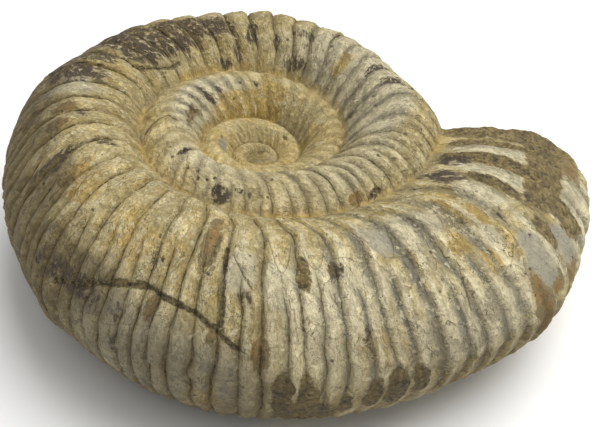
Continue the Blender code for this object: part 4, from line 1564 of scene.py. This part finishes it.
    def groove_lines(self, sheet: StoneSheet, grime: Socket, trodden: Socket) -> None:
        """Lay the lines between the ribs, broken here and there, and the soft brown beside them, partly soil
        and partly painted shade.
        """
        line, soft = self.grooves(sheet)
        broken = sheet.total((sheet.blotch, 0.5), (sheet.gaps, 0.5))
        broken = sheet.ramp(broken, Ramp(0.42, 0.60, 0.06, 0.95))
        amount = sheet.total((sheet.ramp(broken, Ramp(0.0, 1.0, 0.05, 0.55)), 1.0), (grime, 0.25))
        # Soft brown beside the grooves: partly soil, partly painted shade.
        sheet.lay(self.brown, soft, amount)
        sheet.relief.append((line, -0.35))
        sheet.lay(trodden, line, broken)

    def crack_lines(self, sheet: StoneSheet, trodden: Socket) -> None:
        """Lay the cracks, and a pale rim on one side of each flake's edge."""
        strength, signed = sheet.attribute(Tint.LINE_STRENGTH), sheet.attribute(Tint.LINE)
        uneven = sheet.total((sheet.blotch, 0.6), (sheet.grain, 0.4))
        width = sheet.product(
            sheet.math("POWER", strength, 1.6), sheet.ramp(uneven, Ramp(0.40, 0.60, 0.10, 0.52))
        )
        away = sheet.math("DIVIDE", sheet.math("ABSOLUTE", signed), width)
        crack = sheet.product(
            sheet.ramp(away, Ramp(0.6, 1.2, 1.0, 0.0)),
            sheet.ramp(strength, Ramp(0.1, 0.3)),
            sheet.ramp(strength, Ramp(0.3, 1.0, 0.40, 0.92)),
        )
        rim = sheet.product(
            sheet.ramp(sheet.math("ADD", signed, 0.16), Ramp(0.0, 0.10)),
            sheet.ramp(signed, Ramp(-0.06, 0.0, 1.0, 0.0)),
            sheet.ramp(strength, Ramp(0.15, 0.35)),
            sheet.ramp(strength, Ramp(0.60, 0.75, 1.0, 0.3)),
        )
        sheet.lay(self.chalk, rim, self.rim_share)
        sheet.relief.append((crack, -0.7))
        sheet.lay(trodden, crack)

    def pits(self, sheet: StoneSheet) -> None:
        """Lay scattered pits and a few hairline cracks."""
        pit = sheet.cells(self.pit_spacing, "F1", 0.9)
        pits = sheet.product(
            sheet.ramp(pit.outputs["Distance"], Ramp(0.05, 0.13, 1.0, 0.0)),
            sheet.ramp(pit.outputs["Color"], Ramp(0.58, 0.66)),
        )
        sheet.lay(self.soil, pits, self.pit_share)
        hair = sheet.cells(self.hair_spacing, "DISTANCE_TO_EDGE", 0.2, self.bent(sheet))
        hairs = sheet.product(
            sheet.ramp(hair.outputs["Distance"], Ramp(0.003, 0.008, 1.0, 0.0)),
            sheet.ramp(sheet.broad, Ramp(0.54, 0.60)),
        )
        sheet.relief += [(pits, -0.5), (hairs, -0.2)]
        sheet.lay(self.soil, hairs, self.hair_share)

    def bent(self, sheet: StoneSheet) -> Socket:
        """Return the object's coordinates, bent by noise, for cracks that aren't straight."""
        noise = sheet.tree.nodes.new("ShaderNodeTexNoise")
        sheet.feed(noise.inputs["Vector"], sheet.position)
        noise.inputs["Scale"].default_value = 160.0
        noise.inputs["Detail"].default_value = 4.0
        move = sheet.tree.nodes.new("ShaderNodeVectorMath")
        move.operation = "MULTIPLY_ADD"
        sheet.feed(move.inputs[0], noise.outputs["Color"])
        move.inputs[1].default_value = (0.005, 0.005, 0.005)
        sheet.feed(move.inputs[2], sheet.position)
        return move.outputs["Vector"]

    def material(self) -> bpy.types.Material:
        """Return the finish as a material."""
        sheet = StoneSheet()
        self.shell(sheet)
        self.valleys(sheet)
        self.mottles(sheet)
        self.layers(sheet)
        self.flecks(sheet)
        self.stains(sheet)
        self.bare_stone(sheet)
        self.sandy_stone(sheet)
        # Mask of soil on the flanks and of painted shade on the far-left and lower flanks.
        grime = sheet.wandering(Tint.GRIME, (0.0, 1.0), (sheet.cloud, 0.8), (sheet.blotch, 0.5))
        self.dirt_and_shade(sheet, grime)
        trodden = sheet.mix(sheet.ramp(sheet.grain, Ramp(0.42, 0.62)), self.soil, self.brown)
        self.groove_lines(sheet, grime, trodden)
        self.crack_lines(sheet, trodden)
        self.pits(sheet)
        sheet.feed(sheet.shader.inputs["Base Color"], sheet.colour)
        sheet.feed(sheet.shader.inputs["Roughness"], sheet.ramp(sheet.blotch, Ramp(0.3, 0.7, 0.68, 0.92)))
        sheet.shader.inputs["Specular IOR Level"].default_value = self.specular
        bump = sheet.tree.nodes.new("ShaderNodeBump")
        sheet.feed(bump.inputs["Height"], sheet.total(*sheet.relief))
        bump.inputs["Distance"].default_value = self.bump_depth
        bump.inputs["Strength"].default_value = self.bump_strength
        sheet.feed(sheet.shader.inputs["Normal"], bump.outputs["Normal"])
        return sheet.material


class Lamp(NamedTuple):
    """A square soft light that faces the fossil."""

    name: str
    place: Place
    size: float
    power: float


@dataclass
class Studio:
    """The pale floor, the soft light and the camera."""

    coil: CoilShape = field(default_factory=CoilShape)
    camera_elevation: float = 40.27
    camera_roll: float = 4.46
    camera_distance: float = 0.3107
    sight_right: float = 0.01044
    sight_forward: float = -0.01746
    sight_up: float = -0.00221
    lens: float = 75.9
    sensor: float = 36.0
    floor_size: float = 4.0
    paper: Colour = (0.93, 0.93, 0.92, 1.0)
    paper_roughness: float = 0.9
    lamps: tuple[Lamp, ...] = (
        Lamp("soft_key", (0.42, 0.16, 1.2), 1.2, 17.6),
        Lamp("soft_front", (-0.05, -0.45, 1.25), 1.0, 2.8),
    )
    surround: Colour = (1.0, 1.0, 1.0, 1.0)
    surround_strength: float = 0.36

    def floor(self) -> bpy.types.Object:
        """Add the floor.

        Returns:
            The floor's object.
        """
        bpy.ops.object.select_all(action="DESELECT")
        bpy.ops.mesh.primitive_plane_add(size=self.floor_size, location=(0.0, 0.0, 0.0))
        floor = bpy.context.object
        floor.name = "floor"
        sheet = NodeSheet("floor_paper")
        sheet.shader.inputs["Base Color"].default_value = self.paper
        sheet.shader.inputs["Roughness"].default_value = self.paper_roughness
        floor.data.materials.append(sheet.material)
        return floor

    def light(self, lamp: Lamp) -> None:
        """Add one light."""
        light = bpy.data.lights.new(lamp.name, "AREA")
        light.size = lamp.size
        light.energy = lamp.power
        holder = bpy.data.objects.new(lamp.name, light)
        bpy.context.scene.collection.objects.link(holder)
        holder.location = lamp.place
        holder.rotation_euler = (-Vector(lamp.place)).to_track_quat("-Z", "Y").to_euler()

    def lights(self) -> None:
        """Add the soft lights and an even surround."""
        for lamp in self.lamps:
            self.light(lamp)
        world = bpy.data.worlds.new("surround")
        world.use_nodes = True
        background = world.node_tree.nodes["Background"]
        background.inputs["Color"].default_value = self.surround
        background.inputs["Strength"].default_value = self.surround_strength
        bpy.context.scene.world = world
        bpy.context.scene.view_settings.view_transform = "Standard"

    def camera(self) -> bpy.types.Object:
        """Add the camera, which looks down on the front of the coil.

        Returns:
            The camera's object.
        """
        rise, roll = math.radians(self.camera_elevation), math.radians(self.camera_roll)
        turned = Matrix.Rotation(-roll, 3, "Y")
        right = turned @ Vector((1.0, 0.0, 0.0))
        back = turned @ Vector((0.0, -math.cos(rise), math.sin(rise)))
        up = back.cross(right)
        sight = turned @ Vector((self.sight_right, self.sight_forward, self.sight_up))
        heart = Vector((*self.coil.axis, self.coil.middle_height))
        lens = bpy.data.cameras.new("camera")
        lens.lens = self.lens
        lens.sensor_width = self.sensor
        camera = bpy.data.objects.new("camera", lens)
        bpy.context.scene.collection.objects.link(camera)
        pose = Matrix((right, up, back)).transposed().to_4x4()
        pose.translation = heart + sight + back * self.camera_distance
        camera.matrix_world = pose
        bpy.context.scene.camera = camera
        return camera


def main() -> None:
    """Build the fossil and the studio."""
    logging.basicConfig(level=logging.INFO, format="%(name)s %(relativeCreated)d ms: %(message)s")
    shell = AmmoniteShell().build()
    shell.data.materials.clear()
    shell.data.materials.append(FossilStone().material())
    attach(shell, "root")
    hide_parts("ammonite")
    LOG.info("fossil: %d triangles", len(shell.data.polygons))
    studio = Studio()
    studio.camera()
    studio.floor()
    studio.lights()
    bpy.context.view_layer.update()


if __name__ == "__main__":
    main()
